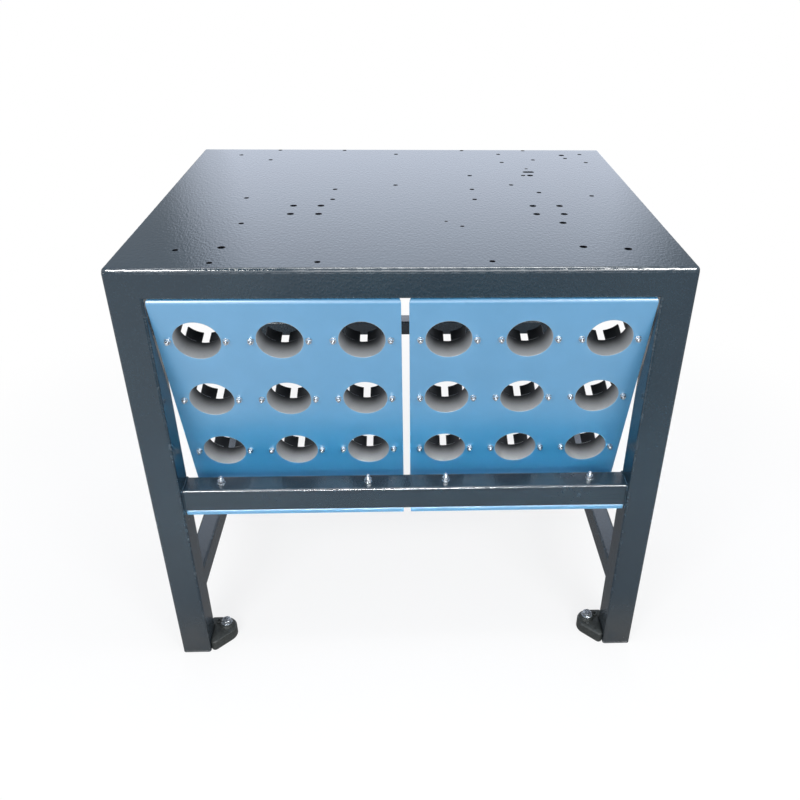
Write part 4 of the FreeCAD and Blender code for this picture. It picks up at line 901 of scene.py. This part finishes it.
def make_feet(casting, zinc):
    """Cast lugs at the inner sides of the feet, each with its boss, anchor bolt and washer,
    and a socket screw beside them."""
    washer_height = 2.5
    head = hexagon_block(flats=19, height=7.5)
    stem = threaded_end(radius=5.9, pitch=1.75, start=0.2, end=BOSS_TOP + washer_height + 0.5)
    washer = washer_ring(radius=12, bore=6.2, height=washer_height, segments=40)
    bolts, washers, screws = [], [], []
    for end, y_sign in ENDS:
        for side, x_sign in SIDES:
            mirror = np.diag([-x_sign, -y_sign, 1.0])
            seat = np.array([x_sign * (WIDTH / 2 - LEG), y_sign * DEPTH / 2, 0.0])
            spot = seat + mirror @ np.array([*BOSS_AT, 0])
            name = "%s_%s" % (end, side)
            make_piece("lug_casting_" + name,
                       [moved(lug_body(), mirror, seat), moved(lug_boss(), mirror, spot)],
                       casting, ["foot_lug_" + name])
            bolts.append(moved(head, upright(11 + 25 * x_sign),
                               spot + (0, 0, BOSS_TOP + washer_height)))
            bolts.append(moved(stem, upright(), spot))
            washers.append(moved(washer, upright(), spot + (0, 0, BOSS_TOP)))
            screws.append(moved(socket_screw(), mirror, seat + mirror @ np.array([*SOCKET_AT, 0])))
    make_piece("anchor_bolts_zinc", bolts, zinc, ["anchor_bolts"])
    make_piece("anchor_washers_zinc", washers, zinc, ["anchor_washers"])
    make_piece("lug_socket_screws", screws, casting, [])


# --- finishes ---------------------------------------------------------------------------


class Signal:
    """A value that runs between shader nodes. Python's signs add the Math nodes."""

    def __init__(self, sheet, socket):
        self.sheet, self.socket = sheet, socket

    def math(self, operation, *values):
        return self.sheet.node("ShaderNodeMath", {"operation": operation}, dict(enumerate(values)))

    def __add__(self, other):
        return self.math("ADD", self, other)

    def __radd__(self, other):
        return self.math("ADD", other, self)

    def __sub__(self, other):
        return self.math("SUBTRACT", self, other)

    def __rsub__(self, other):
        return self.math("SUBTRACT", other, self)

    def __mul__(self, other):
        return self.math("MULTIPLY", self, other)

    def __rmul__(self, other):
        return self.math("MULTIPLY", other, self)

    def within(self, low, high):
        """0 at low, 1 at high, held in between 0 and 1."""
        return self.sheet.node("ShaderNodeMapRange", {"interpolation_type": "SMOOTHSTEP"},
                               {"Value": self, "From Min": low, "From Max": high})


class Sheet:
    """The node tree of a finish or of the air."""

    def __init__(self, owner):
        owner.use_nodes = True
        self.owner, self.tree = owner, owner.node_tree
        self.tree.nodes.clear()

    def node(self, kind, settings=None, inputs=None, output=0):
        """One node of a type: its settings first, then its sockets' values or links."""
        made = self.tree.nodes.new(kind)
        for key, value in (settings or {}).items():
            setattr(made, key, value)
        for key, value in (inputs or {}).items():
            if isinstance(value, Signal):
                self.tree.links.new(value.socket, made.inputs[key])
            else:
                made.inputs[key].default_value = value
        return Signal(self, made.outputs[output]) if made.outputs else None

    def ray(self, kind):
        """1 for a ray of a kind, such as Is Camera Ray, and 0 for any other."""
        return self.node("ShaderNodeLightPath", output=kind)

    def mixed(self, factor, first, second):
        """From one shader to another by a factor."""
        return self.node("ShaderNodeMixShader", None, {0: factor, 1: first, 2: second})

    def done(self, surface, end="ShaderNodeOutputMaterial"):
        self.node(end, None, {"Surface": surface})
        return self.owner


class Finish(Sheet):
    """The shader of one finish. Its place is where a point lies, in metres."""

    def __init__(self, name):
        super().__init__(bpy.data.materials.new(name))
        self.place = self.node("ShaderNodeTexCoord", output="Object")

    def noise(self, scale, detail=2.0, roughness=0.5, place=None):
        return self.node("ShaderNodeTexNoise", None, {"Vector": place or self.place, "Scale": scale,
                         "Detail": detail, "Roughness": roughness})

    def cells(self, scale, smooth):
        """Distance to the nearest of scattered points, softened."""
        return self.node("ShaderNodeTexVoronoi", {"feature": "SMOOTH_F1"},
                         {"Vector": self.place, "Scale": scale, "Smoothness": smooth})

    def stretched(self, x, y, z):
        return self.node("ShaderNodeMapping", None, {"Vector": self.place, "Scale": (x, y, z)})

    def along(self, axis):
        """The place's part along an axis, X, Y or Z."""
        return self.node("ShaderNodeSeparateXYZ", None, {"Vector": self.place}, axis)

    def distance(self, point):
        """How far the place is from a point."""
        return self.node("ShaderNodeVectorMath", {"operation": "DISTANCE"},
                         {0: self.place, 1: point}, "Value")

    # Reads the wear attribute: rubbed wear, painted highlight along edges and painted shade in
    # holes and bores, as each finish uses it.
    def wear_and_painted_light(self):
        return self.node("ShaderNodeAttribute", {"attribute_name": "wear_and_painted_light"}, output="Fac")

    def blend(self, factor, first, second):
        """From one colour to another by a factor; a plain colour is a tuple of three."""
        colours = [c if isinstance(c, Signal) else (*c, 1) for c in (first, second)]
        return self.node("ShaderNodeMix", {"data_type": "RGBA"},
                         {0: factor, 6: colours[0], 7: colours[1]}, 2)

    def bump(self, height, distance, strength):
        return self.node("ShaderNodeBump", None,
                         {"Height": height, "Distance": distance, "Strength": strength})

    def surface(self, **inputs):
        """The surface shader, from its inputs with _ for a space in their names."""
        return self.node("ShaderNodeBsdfPrincipled", None,
                         {key.replace("_", " "): value for key, value in inputs.items()})

    def shade(self, **inputs):
        return self.done(self.surface(**inputs))


def anthracite_enamel():
    """Textured enamel: a shallow hammered skin of soft cells 4 to 8 mm wide under a clear
    gloss, lighter along its edges by rubbed paint and a painted highlight, thick and glassy
    over the ground seam, painted near black in the holes as painted shade, duller from the
    middle rail down and lighter and greyer in clouds towards the floor."""
    finish = Finish("anthracite_hammer_enamel")
    hammer = finish.noise(230, 2.0, 0.5, finish.stretched(1.2, 0.45, 1.2))
    dimples = finish.cells(170, 0.8)
    cloud = finish.noise(5, 4.0, 0.6)
    patch = finish.noise(38, 3.0, 0.6)
    wear_and_painted_light = finish.wear_and_painted_light()
    tone = finish.blend(cloud.within(0.3, 0.7), (0.006, 0.021, 0.036), (0.009, 0.027, 0.043))
    tone = finish.blend(hammer.within(0.45, 0.75) * 0.3, tone, (0.022, 0.042, 0.060))
    # Lighter along rounded edges, in hammered patches: partly rubbed paint, partly a painted
    # highlight.
    rubbed_and_painted_highlight = (wear_and_painted_light * patch.within(0.42, 0.68) * hammer.within(0.4, 0.6)) * 0.3
    tone = finish.blend(rubbed_and_painted_highlight, tone, (0.16, 0.19, 0.21))
    # Painted shade: where the wear is below nought, on the walls of the top's holes, the colour
    # goes near black.
    tone = finish.blend((0 - wear_and_painted_light).within(0.0, 1.0), tone, (0.001, 0.001, 0.002))
    height = finish.along("Z")
    # Lighter and greyer in clouds from 0.18 m down to the floor.
    greyer_near_floor = height.within(0.18, 0.02) * cloud.within(0.2, 0.6) * 0.75
    tone = finish.blend(greyer_near_floor, tone, (0.048, 0.050, 0.050))
    gloss = 0.105 + cloud * 0.03 + patch * 0.03 + height.within(0.60, 0.44) * 0.13
    skin = finish.bump(hammer + dimples * 0.35, 0.0005, 0.65)
    return finish.shade(Base_Color=tone, Roughness=gloss, Normal=skin, IOR=1.75,
                        Coat_Weight=wear_and_painted_light.within(0.95, 1.2), Coat_Roughness=0.16, Coat_IOR=2.2)


def sky_enamel():
    """Satin sky-blue enamel over bent sheet: an even coat, slight orange peel, and a painted
    highlight of lighter blue along its cut edges and hole rims.
    """
    finish = Finish("sky_blue_satin_enamel")
    peel = finish.noise(420, 2.0, 0.5)
    sway = finish.noise(7, 2.0, 0.5)
    cloud = finish.noise(16, 4.0, 0.6)
    wear_and_painted_light = finish.wear_and_painted_light()
    tone = finish.blend(cloud.within(0.3, 0.75), (0.030, 0.268, 0.520), (0.040, 0.292, 0.560))
    # Painted highlight: lighter blue, in clouds, along the hole rims, the cut edges and the sides
    # of the sheet.
    tone = finish.blend((wear_and_painted_light * cloud.within(0.3, 0.5)) * 0.45, tone, (0.22, 0.50, 0.74))
    gloss = 0.36 + cloud * 0.10
    skin = finish.bump(peel * 0.5 + sway * 6, 0.0002, 0.35)
    return finish.shade(Base_Color=tone, Roughness=gloss, Normal=skin, IOR=1.5,
                        Coat_Weight=1.0, Coat_Roughness=0.34, Coat_IOR=2.6)


def grey_plastic():
    """Moulded grey plastic: satin, finely grained and scuffed, light grey at the mouth and
    painted shade darkening it to near black down the bore."""
    finish = Finish("light_grey_moulded_plastic")
    grain = finish.noise(1800, 2.0, 0.6)
    cloud = finish.noise(30, 4.0, 0.6)
    scuff = finish.noise(90, 5.0, 0.65, finish.stretched(1, 1, 6))
    depth = finish.wear_and_painted_light()
    tone = finish.blend(cloud.within(0.3, 0.7), (0.42, 0.44, 0.46), (0.50, 0.515, 0.53))
    tone = finish.blend(scuff.within(0.55, 0.8) * 0.4, tone, (0.24, 0.25, 0.27))
    # Painted shade: the colour darkens to near black with the share of the tube's length, down the
    # bore.
    painted_bore_shade = (depth + (cloud - 0.5) * 0.2).within(-0.05, 0.62)
    tone = finish.blend(painted_bore_shade, tone, (0.012, 0.014, 0.017))
    skin = finish.bump(grain + scuff * 0.8, 0.0001, 0.4)
    return finish.shade(Base_Color=tone, Roughness=0.45 + cloud * 0.14, Normal=skin, IOR=1.45)


def zinc_plate():
    """Bright zinc plate: bluish, faintly clouded, with fine turning marks."""
    finish = Finish("bright_zinc_plate")
    cloud = finish.noise(140, 4.0, 0.6)
    marks = finish.noise(900, 3.0, 0.6, finish.stretched(1, 1, 0.15))
    wear_and_painted_light = finish.wear_and_painted_light()
    tone = finish.blend(cloud.within(0.3, 0.7), (0.62, 0.66, 0.70), (0.80, 0.83, 0.86))
    tone = finish.blend(wear_and_painted_light * 0.4, tone, (0.92, 0.93, 0.94))
    skin = finish.bump(marks, 0.00006, 0.5)
    return finish.shade(Base_Color=tone, Metallic=1.0, Roughness=0.18 + cloud * 0.18, Normal=skin)


def black_casting():
    """Black enamel over a rough casting, rubbed along its edges."""
    finish = Finish("black_casting_enamel")
    rough = finish.noise(260, 4.0, 0.6)
    lumps = finish.noise(60, 2.0, 0.5)
    wear_and_painted_light = finish.wear_and_painted_light()
    tone = finish.blend(rough.within(0.35, 0.7), (0.026, 0.030, 0.029), (0.050, 0.056, 0.053))
    tone = finish.blend((wear_and_painted_light * lumps.within(0.4, 0.65)) * 0.4, tone, (0.14, 0.15, 0.15))
    skin = finish.bump(rough + lumps * 2, 0.0008, 0.5)
    return finish.shade(Base_Color=tone, Roughness=0.34 + lumps * 0.12, Normal=skin, IOR=1.5)


# --- studio -----------------------------------------------------------------------------


def floor_finish():
    """Pale matt floor, faintly clouded. Seen straight it is lifted most of the way to white
    near the table, so that the shadow stays, and wholly further off. In gloss it glows as a
    painted reflection, at most two thirds of white, with painted shade towards the table's
    middle, in a dimmer patch in front and growing towards the right."""
    finish = Finish("pale_studio_floor")
    cloud = finish.noise(0.8, 3.0, 0.5)
    tone = finish.blend(cloud.within(0.3, 0.7), (0.87, 0.87, 0.88), (0.91, 0.91, 0.915))
    lit = finish.surface(Base_Color=tone, Roughness=0.8, Specular_IOR_Level=0.1)
    away = finish.distance((0, 0, 0))
    ahead = finish.distance((0.1, -1.95, 0))
    seen = finish.ray("Is Camera Ray") + finish.ray("Is Transmission Ray")
    glossy = finish.ray("Is Glossy Ray")
    lifted = seen * (0.80 + 0.20 * away.within(0.8, 1.8)) + glossy * 0.97
    # Painted shade in gloss: darker near the table's middle, in a patch in front of it and towards
    # the right.
    shaded = finish.blend(away.within(0.45, 0.98), (0.25, 0.245, 0.245), (0.66, 0.66, 0.66))
    shaded = finish.blend(ahead.within(0.4, 1.0), (0.20, 0.23, 0.24), shaded)
    shaded = finish.blend(finish.along("X").within(-0.7, 0.9) * 0.3, shaded, (0.03, 0.03, 0.03))
    glow = finish.node("ShaderNodeEmission", None,
                       {"Color": finish.blend(glossy, (1, 1, 1), shaded), "Strength": 1.0})
    return finish.done(finish.mixed(lifted, lit, glow))


def studio_air():
    """White air where it is seen straight, and cool and dimmer for all other rays."""
    air = Sheet(bpy.data.worlds.new("studio_air"))
    cool = air.node("ShaderNodeBackground", None, {"Color": (0.86, 0.92, 1.0, 1), "Strength": 0.45})
    white = air.node("ShaderNodeBackground", None, {"Color": (1, 1, 1, 1)})
    return air.done(air.mixed(air.ray("Is Camera Ray"), cool, white), "ShaderNodeOutputWorld")


def make_studio():
    """A pale sweep: a floor that curves up into a low backdrop well behind the table, its
    profile in (y, z) carried across."""
    reach, back, rise = 9000, 6500, 1400
    profile = bent_path([(-reach, 0), (back, 0), (back, rise)], [1300], 24)
    rows = [placed(profile, x, "x") for x in np.linspace(-reach, reach, 7)]
    points, quads, _ = grid(np.stack(rows))
    mesh = bpy.data.meshes.new("studio_sweep")
    mesh.from_pydata((points * 0.001).tolist(), [], quads[:, ::-1].tolist())
    mesh.shade_smooth()
    mesh.materials.append(floor_finish())
    sweep = bpy.data.objects.new("studio_sweep", mesh)
    bpy.context.scene.collection.objects.link(sweep)


def lamp(name, place, target, size, watts, colour=(1, 1, 1), spread=180):
    """An area lamp at a place in metres, facing a target, its beam spread over degrees."""
    data = bpy.data.lights.new(name, "AREA")
    data.shape, data.size, data.size_y = "RECTANGLE", size[0], size[1]
    data.spread = math.radians(spread)
    data.energy, data.color = watts, colour
    item = bpy.data.objects.new(name, data)
    bpy.context.scene.collection.objects.link(item)
    item.location = place
    item.rotation_euler = (Vector(target) - Vector(place)).to_track_quat("-Z", "Y").to_euler()
    item.visible_camera = False


# panes behind the table, one behind the other: left, right and top in metres, and radiance
PANES = [(-1.37, 1.85, 1.85, 0.195), (-1.33, 1.75, 2.10, 0.195), (-1.27, 1.65, 2.70, 0.385),
         (-1.17, 1.50, 2.70, 0.335), (-1.03, 1.35, 2.70, 0.305)]
PANE_FOOT = 0.4


def make_light():
    """A soft key at the left and one at the right in front, a wide fill between them, large
    panes of cool light behind that the top mirrors, soft lights overhead, and weak ones for
    the racks' feet and the low stretchers. The air is white where it is seen straight."""
    warm, cool = (1.0, 0.99, 0.97), (0.79, 0.85, 1.0)
    lamp("key_left", (-1.35, -2.6, 2.3), (0, -0.2, 0.5), (0.9, 0.45), watts=34, colour=warm)
    lamp("key_right", (1.55, -2.6, 2.3), (0, -0.2, 0.5), (0.9, 0.45), watts=32, colour=warm)
    lamp("front_fill", (0, -3.0, 1.2), (0, 0, 0.5), (2.6, 1.2), watts=15)
    for number, (left, right, top, light) in enumerate(PANES):
        middle, width = (left + right) / 2, right - left
        level, height = (top + PANE_FOOT) / 2, top - PANE_FOOT
        lamp("pane_behind_%d" % number, (middle, 3 + 0.03 * number, level), (middle, 0, level),
             (width, height), watts=light * math.pi * width * height, colour=cool)
    lamp("strip_overhead", (0, -0.5, 2.7), (0, -0.3, 0.9), (1.6, 0.3), watts=12)
    lamp("overhead", (0, 0.2, 3.6), (0, 0, 0.5), (2.6, 2.6), watts=30)
    lamp("foot_fill", (0, -1.7, 1.10), (0, -0.33, 0.41), (1.7, 0.12), watts=0.5, spread=14)
    for name, x_sign in SIDES:
        lamp("low_pane_" + name, (x_sign * 0.63, 0.47, 0.68), (x_sign * 0.42, -0.25, 0.2),
             (0.34, 0.4), watts=0.4, colour=cool)
    bpy.context.scene.world = studio_air()


def make_camera():
    """The camera from its place, pitch, yaw and roll. Its focal length and the picture's
    middle are in pixels of a picture 800 to a side."""
    side, focal, middle_x, middle_y = 800, 803.76, 437.32, 428.97
    yaw, pitch, roll = (math.radians(a) for a in (-2.654, 31.973, 0.777))
    level_x = np.array([math.cos(yaw), math.sin(yaw), 0])
    level_y = np.array([-math.sin(yaw), math.cos(yaw), 0])
    up = np.array([0, 0, 1.0])
    ahead = math.cos(pitch) * level_y - math.sin(pitch) * up
    above = math.sin(pitch) * level_y + math.cos(pitch) * up
    right = math.cos(roll) * level_x + math.sin(roll) * above
    top = -math.sin(roll) * level_x + math.cos(roll) * above
    data = bpy.data.cameras.new("camera")
    data.sensor_width = 36
    data.lens = focal / side * data.sensor_width
    data.shift_x, data.shift_y = (side / 2 - middle_x) / side, (middle_y - side / 2) / side
    data.clip_end = 60
    item = bpy.data.objects.new("camera", data)
    bpy.context.scene.collection.objects.link(item)
    matrix = np.eye(4)
    matrix[:3, 0], matrix[:3, 1], matrix[:3, 2] = right, top, -ahead
    matrix[:3, 3] = (-0.00143, -1.69443, 1.37573)
    item.matrix_world = Matrix(matrix.tolist())
    bpy.context.scene.camera = item


# --- the scene --------------------------------------------------------------------------

make_camera()
make_light()
make_studio()

anthracite, sky_blue, light_grey = anthracite_enamel(), sky_enamel(), grey_plastic()
zinc, black = zinc_plate(), black_casting()

make_frame(anthracite)
make_top(anthracite)
make_edge_seam(anthracite)
for side, x_sign in SIDES:
    make_rack(side, x_sign, sky_blue)
make_tubes(light_grey)
make_tube_fasteners(zinc)
make_frame_bolts(zinc)
make_feet(black, zinc)

bpy.context.scene.view_settings.view_transform = "Standard"
